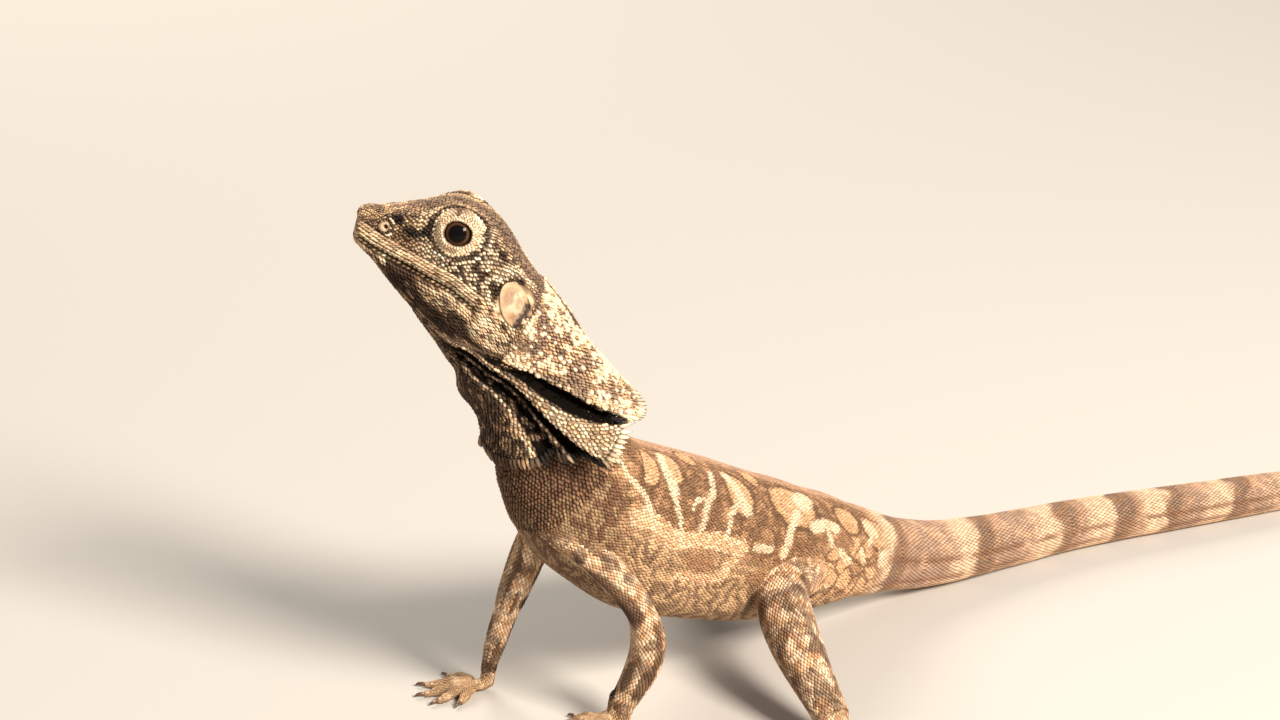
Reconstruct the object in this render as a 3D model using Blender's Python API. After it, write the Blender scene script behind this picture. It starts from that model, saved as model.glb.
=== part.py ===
"""Juvenile frilled lizard, standing with its head raised and its frill folded.

Every flesh part is a loft of rings along a named line of the animal. Sizes are in
millimetres and become metres when a mesh is made. The animal faces -X, its left side
is -Y, up is +Z, and the floor is the plane Z = 0.
"""

import math
from dataclasses import dataclass

import bmesh
import bpy
import numpy as np
from mathutils import Matrix

MM = 0.001
FLOOR = 0.0
GAP = 0.3  # clear space between two neighbouring solids
WELD = 0.004  # points nearer than this are one
SHARP_ANGLE = math.radians(55)  # edges sharper than this aren't smoothed

# The station table counts from this point of the animal's frame, along its diagonals.
PLAN_ORIGIN = np.array([-344.84, -239.72, 0.0])
DIAGONAL_ACROSS = np.array([math.sqrt(0.5), -math.sqrt(0.5)])
DIAGONAL_ALONG = np.array([math.sqrt(0.5), math.sqrt(0.5)])


# ---------------------------------------------------------------- kinds of size


@dataclass(frozen=True)
class Station:
    """One cross-section of the body.

    Args:
        name: what lies there.
        across: plan position along the camera-side diagonal, in mm.
        along: plan position along the other diagonal, in mm.
        height: height of the section's centre over the floor, in mm.
        yaw: turn of the section's forward normal from -X towards +Y, in degrees.
        pitch: rise of the section's forward normal, in degrees.
        half_width: half the section's width.
        up: distance from the centre to the top.
        down: distance from the centre to the underside.
        boxiness: superellipse exponent, 2 for an ellipse.
    """

    name: str
    across: float
    along: float
    height: float
    yaw: float
    pitch: float
    half_width: float
    up: float
    down: float
    boxiness: float


@dataclass(frozen=True)
class HeadFeature:
    """A place on the head's side.

    Args:
        at: distance from the snout.
        rise: height over the section's centre.
        aside: distance from the middle plane.
    """

    at: float
    rise: float
    aside: float

    def place(self, side):
        """Its position, and the direction out of the head there, for side +1 or -1."""
        centre, left, up, _ = LINE.frames([self.at])
        return centre[0] + self.rise * up[0] + side * self.aside * left[0], left[0]


@dataclass(frozen=True)
class Pleat:
    """One fold line of the frill, from its root on the neck to the free edge.

    Args:
        name: which fold it is.
        root: distance from the snout and angle from the top, in mm and degrees.
        waist: the same halfway.
        tip: the same at the free edge.
        lift: height over the neck at the root, the middle and the free edge.
    """

    name: str
    root: tuple
    waist: tuple
    tip: tuple
    lift: tuple


@dataclass(frozen=True)
class Leg:
    """Joints and thicknesses of one leg.

    Args:
        name: which leg.
        joints: plan positions of the hip or shoulder, knee or elbow, and ankle or wrist.
        radii: half thickness at the root, above the joint, below it, and at the ankle.
        foot_heading: direction the foot points, in degrees from -X towards +Y.
        foot_length: from the ankle to the roots of the toes.
        toe_lengths: from the innermost toe to the outermost.
        toe_angles: spread of the toes from the foot's heading, towards the outside.
        outside: +1 when the outside of the foot is its left.
    """

    name: str
    joints: tuple
    radii: tuple
    foot_heading: float
    foot_length: float
    toe_lengths: tuple
    toe_angles: tuple
    outside: int


@dataclass(frozen=True)
class Finish:
    """Look of one kind of surface."""

    name: str
    colour: tuple
    roughness: float
    metallic: float = 0.0


# ---------------------------------------------------------------- sizes

BODY = (
    Station("snout", -34.9, 342.5, 68.6, 45, 15, 1.2, 1.0, 1.5, 2.0),
    Station("nose", -34.2, 342.5, 68.5, 45, 15, 2.1, 1.9, 2.5, 2.3),
    Station("nostril", -31.9, 342.5, 67.6, 45, 15, 3.1, 2.9, 3.9, 2.4),
    Station("muzzle", -28.2, 342.5, 66.0, 45, 15, 4.3, 4.9, 6.5, 2.6),
    Station("eye", -23.2, 342.5, 64.2, 45, 15, 6.2, 7.3, 9.4, 2.8),
    Station("temple", -19.5, 342.5, 62.6, 45, 17, 7.2, 6.6, 11.0, 2.5),
    Station("ear", -16.0, 342.3, 58.7, 43, 30, 7.2, 4.9, 10.4, 2.1),
    Station("nape", -12.4, 342.0, 52.0, 36, 46, 6.2, 5.5, 8.4, 2.0),
    Station("neck base", -9.6, 343.0, 42.6, 22, 44, 7.8, 6.2, 12.1, 2.0),
    Station("shoulder", -6.2, 346.8, 33.4, 10, 37, 10.4, 6.8, 12.7, 2.3),
    Station("ribs", 2.0, 353.4, 26.6, 7, 24, 10.2, 7.6, 14.7, 2.2),
    Station("belly", 13.0, 363.4, 18.8, 7, 20, 10.2, 8.0, 12.8, 2.2),
    Station("flank", 22.5, 371.6, 13.2, 7, 18, 8.9, 7.4, 9.4, 2.2),
    Station("hips", 29.5, 377.8, 9.4, 8, 14, 7.0, 6.4, 6.8, 2.1),
    Station("tail root", 36.5, 383.2, 6.4, 12, 10, 5.4, 5.2, 5.4, 2.1),
    Station("tail thick", 47.0, 389.8, 4.5, 14, 2, 4.5, 4.3, 4.7, 2.1),
    Station("tail bands", 62.0, 399.0, 3.8, 18, 0, 3.8, 3.7, 4.1, 2.1),
    Station("tail near", 82.0, 408.0, 3.4, 20, 0, 3.4, 3.3, 3.7, 2.1),
    Station("tail middle", 99.0, 415.4, 3.0, 22, 0, 3.0, 2.9, 3.3, 2.1),
    Station("tail far", 126.0, 425.6, 2.3, 22, 0, 2.3, 2.2, 2.55, 2.1),
    Station("tail thin", 152.0, 437.4, 1.7, 18, 0, 1.7, 1.6, 1.9, 2.1),
    Station("tail whip", 176.0, 451.6, 1.1, 12, 0, 1.1, 1.1, 1.25, 2.1),
    Station("tail end", 200.0, 469.0, 0.7, 8, 0, 0.6, 0.6, 0.8, 2.1),
)

# Where one body node ends and the next begins, in mm along the body from the snout.
MOUTH_CORNER = 17.2
HEAD_END = 24.5
NECK_END = 44.5
TRUNK_END = 97.0
TAIL_CUTS = (97.0, 132.0, 172.0, 217.0)

# The mouth line's height over the section centres, at the snout and at its corner.
MOUTH_AT_SNOUT = -0.9
MOUTH_AT_CORNER = -1.5
MOUTH_BLOCK = (4.0, 16.0, 14.0)  # reach of the block under it: ahead, down, aside

EYE = HeadFeature(12.9, 4.1, 3.7)
EYE_RADIUS = 2.45
LID_THICKNESS = 0.65
SOCKET_CLEARANCE = 0.28
LID_OPENING = (1.05, 1.96)  # radius of the lids' opening, inside and outside
LID_OPENING_STRETCH = (1.1, 0.95)  # its length and height
LID_OPENING_DEPTH = 3.6
EYE_TILT = (0.12, 0.22)  # forward and up share of the eye's outward direction
NOSTRIL = HeadFeature(3.6, 1.3, 2.7)
NOSTRIL_RADIUS = 0.42
NOSTRIL_DEPTH = 1.6
DRUM = HeadFeature(21.6, 1.3, 6.75)
DRUM_HALF = (1.7, 2.3)
DRUM_DEPTH = 0.75
DRUM_REACH = 2.0  # how far out its pit is cut
DRUM_LAYER = (0.12, 0.65)  # the drum's faces, over the pit's floor
DRUM_MARGIN = 0.14  # clear space round the drum

PLEATS = (
    Pleat("dorsal edge", (24.0, 32), (32.5, 26), (41.3, 22), (-0.35, 0.9, 2.9)),
    Pleat("upper leaf", (24.0, 62), (33.0, 53), (43.2, 42), (-0.35, 1.6, 3.5)),
    Pleat("upper leaf edge", (24.6, 128), (31.6, 87), (41.2, 60), (-0.35, 1.7, 3.8)),
    Pleat("first valley", (25.0, 134), (31.0, 98), (39.3, 65), (-0.35, 0.2, 0.4)),
    Pleat("second leaf edge", (11.5, 156), (27.1, 119), (40.2, 71), (-0.35, 1.8, 4.6)),
    Pleat("second leaf", (11.3, 159), (27.3, 122), (40.8, 89), (-0.35, 1.7, 4.4)),
    Pleat("second valley", (11.2, 162), (26.6, 127), (39.6, 100), (-0.35, 0.2, 0.4)),
    Pleat("throat ridge", (11.0, 165), (26.1, 132), (38.3, 110), (-0.35, 1.3, 1.9)),
    Pleat("third valley", (10.8, 168), (26.0, 137), (37.0, 121), (-0.35, 0.4, 0.6)),
    Pleat("throat leaf edge", (10.6, 171), (25.8, 142), (36.2, 133), (-0.35, 1.8, 2.0)),
    Pleat("throat leaf", (10.2, 174), (23.6, 160), (34.6, 156), (-0.35, 2.1, 2.0)),
    Pleat("throat line", (9.0, 178.6), (21.0, 178.6), (32.8, 178.4), (-0.35, 2.3, 2.1)),
)
FRILL_THICKNESS = 0.6
FRILL_CLEAR = 0.45  # least height of its inner face over the neck
FRILL_STEPS = 9
FRILL_ACROSS = 23

FORE_RADII = (2.5, 2.0, 2.35, 1.9)
FAR_FORE_RADII = (2.4, 2.2, 1.75, 1.15)
HIND_RADII = (5.2, 4.0, 3.7, 2.5)
FORE_TOES = (3.6, 5.0, 5.8, 5.8, 4.4)
HIND_TOES = (3.8, 5.6, 8.0, 10.6, 6.4)
FORE_SPREAD = (-52, -24, 0, 24, 58)
HIND_SPREAD = (-40, -20, -3, 14, 44)

LEGS = (
    Leg(
        "fore_left",
        ((-10.9, 338.4, 30.7), (1.7, 340.3, 15.5), (-2.7, 341.0, 3.3)),
        FORE_RADII,
        30.0,
        3.8,
        FORE_TOES,
        FORE_SPREAD,
        1,
    ),
    Leg(
        "fore_right",
        ((-11.2, 348.0, 30.0), (-17.2, 347.4, 14.6), (-20.2, 352.6, 3.0)),
        FAR_FORE_RADII,
        30.0,
        3.4,
        FORE_TOES,
        FORE_SPREAD,
        -1,
    ),
    Leg(
        "hind_left",
        ((26.5, 375.0, 10.4), (17.8, 354.8, 14.0), (24.6, 337.2, 3.6)),
        HIND_RADII,
        -52.0,
        6.4,
        HIND_TOES,
        HIND_SPREAD,
        1,
    ),
    Leg(
        "hind_right",
        ((24.4, 377.0, 10.4), (6.0, 378.6, 13.0), (8.6, 395.6, 3.6)),
        HIND_RADII,
        58.0,
        6.4,
        HIND_TOES,
        HIND_SPREAD,
        -1,
    ),
)

KNEE_BEND = 0.16  # share of a leg's length that its knee is rounded over
KNEE_GAP = 0.012  # share of the leg's path left clear on each side of the knee
LEG_SAMPLES = 161
MUSCLE_SWELL = 0.10  # swelling of thigh, shank, arm and forearm at the middle
FLOOR_BLOCK = (40.0, 20.0)  # reach and depth of the block that trims a foot flat
ANKLE_LENGTH = 1.4  # how far up the shank the foot's own solid reaches
BODY_CLEARANCE = (14.0, 117.0)  # stretch of the body that the legs are cut clear of

# A foot's palm or sole, from the ankle on, in shares of its length and ankle radius.
PALM_AHEAD = (0.06, 0.34, 0.64, 0.95, 1.12)
PALM_HEIGHT = (0.82, 0.70, 0.60, 0.52, 0.46)
PALM_WIDE = (1.0, 1.02, 1.1, 1.25, 1.4, 1.15)
PALM_TALL = (1.0, 0.94, 0.8, 0.64, 0.52, 0.36)
PALM_LIFT = 0.1

# A toe at the shares TOE_SHARES of its length.
TOE_SHARES = (0.0, 0.3, 0.65, 1.0)
TOE_HEIGHTS = (1.0, 1.15, 0.64, 0.36)
TOE_RADII = (0.92, 0.82, 0.74, 0.5)
TOE_ROOT = (0.45, 0.4, 0.95)  # reach along the foot, gain of a straight toe, reach aside

# A claw, from just beyond the toe's end.
CLAW_AHEAD = (0.15, 0.75, 1.25)
CLAW_HEIGHTS = (0.48, 0.5, 0.24)
CLAW_RADII = ((0.22, 0.32), (0.17, 0.24), (0.05, 0.07))

# Rings along and points round each loft.
HEAD_MESH = (15, 24)
JAW_MESH = (12, 20)
NECK_MESH = (7, 20)
TRUNK_MESH = (14, 22)
TAIL_MESH = (9, 20)
TAIL_POINTS_LOST = 3  # fewer points round for each further length of the tail
BALL_MESH = (12, 7)  # points round, then rings
CLEARANCE_MESH = (40, 32)
UPPER_LEG_MESH = (7, 11)
LOWER_LEG_MESH = (6, 11)
PALM_POINTS = 10
TOE_POINTS = 6
CLAW_POINTS = 5
HOLE_POINTS = 14

SKIN_TAN = Finish("skin_tan", (0.47, 0.34, 0.22, 1.0), 0.62)
SKIN_PALE = Finish("skin_pale", (0.66, 0.52, 0.37, 1.0), 0.62)
FRILL_BROWN = Finish("frill_brown", (0.32, 0.21, 0.13, 1.0), 0.66)
EYE_DARK = Finish("eye_dark", (0.03, 0.02, 0.015, 1.0), 0.08)
DRUM_CREAM = Finish("drum_cream", (0.74, 0.62, 0.46, 1.0), 0.45)
CLAW_HORN = Finish("claw_horn", (0.22, 0.16, 0.11, 1.0), 0.35)


# ---------------------------------------------------------------- the line of the body


def plan_point(across, along, height):
    """Position in the animal's frame of a point given by its two diagonals and height."""
    flat = across * DIAGONAL_ACROSS + along * DIAGONAL_ALONG
    return np.array([flat[0], flat[1], height]) + PLAN_ORIGIN


def cubic_through(knots, values, at):
    """Smooth values between knots, never overshooting a knot's own value.

    Args:
        knots: increasing positions, shape (k,).
        values: the value at each knot, shape (k, columns).
        at: the positions wanted, shape (n,).

    Returns:
        Array of shape (n, columns).
    """
    step = np.diff(knots)[:, None]
    slope = np.diff(values, axis=0) / step
    before, after = slope[:-1], slope[1:]
    same = before * after > 0
    safe = np.where(same, before + after, 1.0)
    middle = np.where(same, 2.0 * before * after / safe, 0.0)
    tangent = np.concatenate([slope[:1], middle, slope[-1:]])
    index = np.clip(np.searchsorted(knots, at, side="right") - 1, 0, len(knots) - 2)
    width = step[index]
    t = (at[:, None] - knots[index][:, None]) / width
    return (
        (2 * t**3 - 3 * t**2 + 1) * values[index]
        + (t**3 - 2 * t**2 + t) * width * tangent[index]
        + (3 * t**2 - 2 * t**3) * values[index + 1]
        + (t**3 - t**2) * width * tangent[index + 1]
    )


def spline_through(knots, values, at):
    """Smooth values between knots with continuous curvature: a natural cubic spline."""
    step = np.diff(knots)
    count = len(knots)
    matrix = np.eye(count)
    right = np.zeros_like(values)
    for row in range(1, count - 1):
        matrix[row, row - 1] = step[row - 1]
        matrix[row, row] = 2 * (step[row - 1] + step[row])
        matrix[row, row + 1] = step[row]
        rise = (values[row + 1] - values[row]) / step[row]
        right[row] = 6 * (rise - (values[row] - values[row - 1]) / step[row - 1])
    bend = np.linalg.solve(matrix, right)
    index = np.clip(np.searchsorted(knots, at, side="right") - 1, 0, count - 2)
    width = step[index][:, None]
    left = (at - knots[index])[:, None]
    rest = width - left
    return (
        (bend[index] * rest**3 + bend[index + 1] * left**3) / (6 * width)
        + (values[index] / width - bend[index] * width / 6) * rest
        + (values[index + 1] / width - bend[index + 1] * width / 6) * left
    )


class BodyLine:
    """The line through the body's stations, with the section at any distance along it."""

    def __init__(self, stations):
        self.centres = np.array(
            [plan_point(s.across, s.along, s.height) for s in stations]
        )
        steps = np.linalg.norm(np.diff(self.centres, axis=0), axis=1)
        self.knots = np.concatenate([[0.0], np.cumsum(steps)])
        self.turns = np.radians([[s.yaw, s.pitch] for s in stations])
        self.sizes = np.array(
            [[s.half_width, s.up, s.down, s.boxiness] for s in stations]
        )
        self.length = self.knots[-1]

    def frames(self, at):
        """Centre, left and up directions and sizes of the sections at these distances."""
        at = np.atleast_1d(np.asarray(at, float))
        centre = spline_through(self.knots, self.centres, at)
        yaw, pitch = cubic_through(self.knots, self.turns, at).T
        flat = np.stack([-np.cos(yaw), np.sin(yaw)], axis=1)
        left = np.stack([-flat[:, 1], flat[:, 0], np.zeros(len(at))], axis=1)
        up = np.concatenate(
            [-np.sin(pitch)[:, None] * flat, np.cos(pitch)[:, None]], axis=1
        )
        return centre, left, up, cubic_through(self.knots, self.sizes, at)

    def points(self, at, angle, outward=0.0):
        """Skin points, at a distance along the body and an angle round it.

        Args:
            at: distances from the snout.
            angle: turn from the top towards the left side, in radians.
            outward: distance added to the section's radius.
        """
        at, angle, outward = np.broadcast_arrays(at, angle, outward)
        centre, left, up, size = self.frames(at.ravel())
        turn = angle.ravel()
        across, rise = np.sin(turn), np.cos(turn)
        reach = np.where(rise > 0, size[:, 1], size[:, 2])
        power = size[:, 3]
        radius = (
            np.abs(across / size[:, 0]) ** power + np.abs(rise / reach) ** power
        ) ** (-1 / power) + outward.ravel()
        point = centre + radius[:, None] * (across[:, None] * left + rise[:, None] * up)
        return point.reshape(*at.shape, 3)


LINE = BodyLine(BODY)


# ---------------------------------------------------------------- making objects


def material_of(finish):
    """The material of a finish, made once."""
    found = bpy.data.materials.get(finish.name)
    if found:
        return found
    made = bpy.data.materials.new(finish.name)
    made.use_nodes = True
    shader = made.node_tree.nodes["Principled BSDF"]
    shader.inputs["Base Color"].default_value = finish.colour
    shader.inputs["Roughness"].default_value = finish.roughness
    shader.inputs["Metallic"].default_value = finish.metallic
    made.diffuse_color = finish.colour
    return made


def object_from(name, mesh, finish):
    """A scene object of this mesh, shaded smooth except over its sharp edges."""
    mesh.name = name
    mesh.transform(Matrix.Scale(MM, 4))
    mesh.materials.clear()
    mesh.materials.append(material_of(finish))
    mesh.polygons.foreach_set("use_smooth", np.ones(len(mesh.polygons), bool))
    mesh.set_sharp_from_angle(angle=SHARP_ANGLE)
    made = bpy.data.objects.new(name, mesh)
    bpy.context.scene.collection.objects.link(made)
    return made


def ring_mesh(rings):
    """A closed mesh over rings of points, with a fan to the middle at each end.

    Args:
        rings: points in mm, shape (rings, points round, 3).
    """
    count, around = rings.shape[:2]
    ends = np.stack([rings[0].mean(axis=0), rings[-1].mean(axis=0)])
    points = np.concatenate([rings.reshape(-1, 3), ends])
    here = np.arange(around)
    after = (here + 1) % around
    faces = []
    for ring in range(count - 1):
        base = ring * around
        quads = [base + here, base + after, base + around + after, base + around + here]
        faces += np.stack(quads, axis=1).tolist()
    first, last = count * around, count * around + 1
    top = (count - 1) * around
    faces += [[first, b, a] for a, b in zip(here.tolist(), after.tolist())]
    faces += [[last, top + a, top + b] for a, b in zip(here.tolist(), after.tolist())]
    mesh = bpy.data.meshes.new("loft")
    mesh.from_pydata(points.tolist(), [], faces)
    outward(mesh)
    return mesh


def outward(mesh):
    """Turns every face of a closed mesh outward."""
    work = bmesh.new()
    work.from_mesh(mesh)
    bmesh.ops.recalc_face_normals(work, faces=work.faces)
    if work.calc_volume(signed=True) < 0:
        bmesh.ops.reverse_faces(work, faces=work.faces)
    work.to_mesh(mesh)
    work.free()


def combined(mesh, others, operation):
    """The mesh after one exact Boolean with each of the others in turn."""
    scene = bpy.context.scene.collection.objects
    target = bpy.data.objects.new("target", mesh)
    scene.link(target)
    helpers = []
    for other in others:
        helper = bpy.data.objects.new("helper", other)
        scene.link(helper)
        helpers.append(helper)
        cut = target.modifiers.new("cut", "BOOLEAN")
        cut.operation = operation
        cut.solver = "EXACT"
        cut.object = helper
    bpy.context.view_layer.update()
    graph = bpy.context.evaluated_depsgraph_get()
    result = bpy.data.meshes.new_from_object(target.evaluated_get(graph))
    for done in [target, *helpers]:
        bpy.data.objects.remove(done)
    return result


def largest_part(mesh):
    """The mesh with only its largest connected body kept."""
    work = bmesh.new()
    work.from_mesh(mesh)
    bmesh.ops.remove_doubles(work, verts=work.verts, dist=WELD)
    left = set(work.verts)
    bodies = []
    while left:
        body, front = set(), [left.pop()]
        while front:
            vert = front.pop()
            body.add(vert)
            near = {edge.other_vert(vert) for edge in vert.link_edges} & left
            left -= near
            front += near
        bodies.append(body)
    bodies.sort(key=len)
    spare = [vert for body in bodies[:-1] for vert in body]
    bmesh.ops.delete(work, geom=spare, context="VERTS")
    work.to_mesh(mesh)
    work.free()
    return mesh


# ---------------------------------------------------------------- body lofts


def body_rings(start, end, size, outward_by=0.0, first=0.0):
    """Rings of the body between two distances from the snout.

    Args:
        start: distance of the first ring.
        end: distance of the last ring.
        size: how many rings, and how many points in each.
        outward_by: distance added to the radius.
        first: place of the first point from the top, in steps between points.
    """
    rings, around = size
    at = np.linspace(start, end, rings)[:, None]
    angle = (np.arange(around) + first)[None, :] * 2 * math.pi / around
    points = LINE.points(at, angle, outward_by)
    points[..., 2] = np.maximum(points[..., 2], FLOOR)
    return points


def mouth_block(gap):
    """The space under the mouth line, back to its corner, a gap smaller all round."""
    ahead, down, reach = MOUTH_BLOCK
    ends = (
        (-ahead, MOUTH_AT_SNOUT - gap),
        (MOUTH_CORNER - gap, MOUTH_AT_CORNER - gap),
    )
    corners = []
    for at, top in ends:
        centre, left, up, _ = LINE.frames([max(at, 0.0)])
        forward = np.cross(left[0], up[0])
        base = centre[0] + forward * max(-at, 0.0)
        for side in (-reach, reach):
            for rise in (-down, top):
                corners.append(base + side * left[0] + rise * up[0])
    faces = [
        (0, 1, 3, 2),
        (4, 6, 7, 5),
        (0, 4, 5, 1),
        (2, 3, 7, 6),
        (0, 2, 6, 4),
        (1, 5, 7, 3),
    ]
    mesh = bpy.data.meshes.new("mouth block")
    mesh.from_pydata(np.array(corners).tolist(), [], faces)
    outward(mesh)
    return mesh


def sphere_mesh(centre, radius):
    """A ball as a ring mesh."""
    around, rings = BALL_MESH
    pole = math.pi / (2 * around)
    turn = np.linspace(pole, math.pi - pole, rings)[:, None]
    angle = np.linspace(0, 2 * math.pi, around, endpoint=False)[None, :]
    offset = np.stack(
        [
            np.sin(turn) * np.cos(angle),
            np.sin(turn) * np.sin(angle),
            np.cos(turn) * np.ones_like(angle),
        ],
        axis=-1,
    )
    return ring_mesh(centre + radius * offset)


def tube_mesh(start, end, radii, around, stretch=(1.0, 1.0), up_hint=(0, 0, 1)):
    """A straight tube between two points.

    Args:
        start: middle of its first end.
        end: middle of its last end.
        radii: radius at each end.
        around: points round it.
        stretch: factors on the radius, sideways and upward.
        up_hint: a direction to call up, not along the tube.
    """
    start, end = np.asarray(start, float), np.asarray(end, float)
    ahead = (end - start) / np.linalg.norm(end - start)
    side = np.cross(ahead, up_hint)
    side /= np.linalg.norm(side)
    over = np.cross(side, ahead)
    angle = np.linspace(0, 2 * math.pi, around, endpoint=False)[:, None]
    circle = np.cos(angle) * side * stretch[0] + np.sin(angle) * over * stretch[1]
    return ring_mesh(np.stack([start + radii[0] * circle, end + radii[1] * circle]))


def eye_axis(side):
    """Unit direction in which an eye looks."""
    _, left, up, _ = LINE.frames([EYE.at])
    forward = np.cross(left[0], up[0])
    axis = side * left[0] + EYE_TILT[0] * forward + EYE_TILT[1] * up[0]
    return axis / np.linalg.norm(axis)


def drum_tube(side, inner, outer, shrink):
    """A short oval tube through the side of the head at the ear."""
    place, left = DRUM.place(side)
    axis = side * left
    half = [DRUM_HALF[0] - shrink, DRUM_HALF[1] - shrink]
    ends = place + inner * axis, place + outer * axis
    return tube_mesh(*ends, (1.0, 1.0), HOLE_POINTS, half)


def head_cutters(side):
    """What is cut out of the head on one side: eye socket, lids' opening, nostril, ear."""
    place, left = EYE.place(side)
    opening_end = place + LID_OPENING_DEPTH * eye_axis(side)
    hole, _ = NOSTRIL.place(side)
    hole_end = hole + NOSTRIL_DEPTH * side * left
    opening = tube_mesh(
        place, opening_end, LID_OPENING, HOLE_POINTS, LID_OPENING_STRETCH
    )
    return [
        sphere_mesh(place, EYE_RADIUS + SOCKET_CLEARANCE),
        opening,
        tube_mesh(hole, hole_end, (NOSTRIL_RADIUS,) * 2, HOLE_POINTS // 2 + 1),
        drum_tube(side, -DRUM_DEPTH, DRUM_REACH, 0.0),
    ]


def build_head():
    """Head and lower jaw."""
    end = HEAD_END - GAP / 2
    whole = ring_mesh(body_rings(0.0, end, HEAD_MESH))
    orbits = [sphere_mesh(EYE.place(s)[0], EYE_RADIUS + LID_THICKNESS) for s in (-1, 1)]
    solid = combined(whole, orbits, "UNION")
    cutters = [mouth_block(0.0), *head_cutters(-1), *head_cutters(1)]
    head = largest_part(combined(solid, cutters, "DIFFERENCE"))
    object_from("head", head, SKIN_TAN)
    jaw = ring_mesh(body_rings(GAP, end, JAW_MESH))
    jaw = largest_part(combined(jaw, [mouth_block(GAP)], "INTERSECT"))
    object_from("lower_jaw", jaw, SKIN_PALE)


def build_eyes_and_ears():
    """The eyeballs in their sockets and the eardrums in their pits."""
    inner, outer = (depth - DRUM_DEPTH for depth in DRUM_LAYER)
    for side, word in ((1, "left"), (-1, "right")):
        eyeball = sphere_mesh(EYE.place(side)[0], EYE_RADIUS)
        object_from(f"eye_{word}", eyeball, EYE_DARK)
        drum = drum_tube(side, inner, outer, DRUM_MARGIN)
        object_from(f"eardrum_{word}", drum, DRUM_CREAM)


def build_trunk():
    """Neck, trunk and tail lengths. The tail's underside is flat where it lies."""
    half = GAP / 2
    neck = body_rings(HEAD_END + half, NECK_END - half, NECK_MESH)
    object_from("neck", ring_mesh(neck), FRILL_BROWN)
    trunk = body_rings(NECK_END + half, TRUNK_END - half, TRUNK_MESH)
    object_from("trunk", ring_mesh(trunk), SKIN_TAN)
    ends = [*TAIL_CUTS[1:], LINE.length]
    rings, most = TAIL_MESH
    for number, (start, end) in enumerate(zip(TAIL_CUTS, ends), 1):
        size = (rings, most - TAIL_POINTS_LOST * number)
        first = 0.5 * (size[1] % 2 == 0)
        points = body_rings(start + half, end - half, size, first=first)
        object_from(f"tail_{number}", ring_mesh(points), SKIN_TAN)


# ---------------------------------------------------------------- frill


def through_three(root, waist, tip, along):
    """The quadratic through values at the start, the middle and the end, 0 to 1."""
    return (
        root * (1 - along) * (1 - 2 * along)
        + waist * 4 * along * (1 - along)
        + tip * along * (2 * along - 1)
    )


def frill_grid(side, sink):
    """Points of one frill side, at a depth under its outer face.

    Args:
        side: +1 for the left side, -1 for the right.
        sink: distance below the outer face.

    Returns:
        Array of shape (steps from root to edge, points across, 3).
    """
    order = np.arange(len(PLEATS), dtype=float)
    table = np.array([[*p.root, *p.waist, *p.tip, *p.lift] for p in PLEATS])
    across = np.linspace(0, order[-1], FRILL_ACROSS)
    found = cubic_through(order, table, across).T
    along = np.linspace(0, 1, FRILL_STEPS)[:, None]
    at = through_three(found[0], found[2], found[4], along)
    angle = np.radians(through_three(found[1], found[3], found[5], along))
    lift = through_three(found[6], found[7], found[8], along)
    lift = np.maximum(lift, FRILL_CLEAR) + FRILL_THICKNESS
    return LINE.points(at, side * angle, lift - sink)


def sheet_mesh(outer, inner):
    """A closed slab between two grids of points of the same shape."""
    rows, columns = outer.shape[:2]
    points = np.concatenate([outer.reshape(-1, 3), inner.reshape(-1, 3)])
    index = np.arange(rows * columns).reshape(rows, columns)
    low = index + rows * columns
    faces = []
    for top in (index, low):
        quads = [top[:-1, :-1], top[:-1, 1:], top[1:, 1:], top[1:, :-1]]
        faces += np.stack([q.ravel() for q in quads], axis=1).tolist()
    rims = [
        (index[0], low[0]),
        (index[-1], low[-1]),
        (index[:, 0], low[:, 0]),
        (index[:, -1], low[:, -1]),
    ]
    for upper, under in rims:
        quads = [upper[:-1], upper[1:], under[1:], under[:-1]]
        faces += np.stack(quads, axis=1).tolist()
    mesh = bpy.data.meshes.new("sheet")
    mesh.from_pydata(points.tolist(), [], faces)
    outward(mesh)
    return mesh


def build_frill():
    """The folded frill, one pleated slab on each side of the neck."""
    for side, word in ((1, "left"), (-1, "right")):
        mesh = sheet_mesh(frill_grid(side, 0.0), frill_grid(side, FRILL_THICKNESS))
        object_from(f"frill_{word}", mesh, FRILL_BROWN)


# ---------------------------------------------------------------- legs


def path_rings(path, radii, around, ahead=None):
    """Round rings along a path, square to it.

    Args:
        path: points, shape (n, 3).
        radii: the radius at each, or pairs of half width and half height.
        around: points in a ring.
        ahead: directions that the rings are square to, when not the path's own.
    """
    ahead = np.gradient(path, axis=0) if ahead is None else ahead
    ahead = ahead / np.linalg.norm(ahead, axis=1)[:, None]
    side = np.zeros_like(path)
    guide = np.cross(ahead[0], (0.0, 0.0, 1.0))
    if np.linalg.norm(guide) < 0.2:
        guide = np.cross(ahead[0], (1.0, 0.0, 0.0))
    for row, direction in enumerate(ahead):
        guide = guide - direction * (guide @ direction)
        guide /= np.linalg.norm(guide)
        side[row] = guide
    over = np.cross(side, ahead)
    size = np.asarray(radii, float)
    size = size[:, None] * np.ones(2) if size.ndim == 1 else size
    angle = np.linspace(0, 2 * math.pi, around, endpoint=False)
    rings = (
        path[:, None]
        + size[:, 0, None, None] * np.cos(angle)[None, :, None] * side[:, None]
        + size[:, 1, None, None] * np.sin(angle)[None, :, None] * over[:, None]
    )
    return rings


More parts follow.
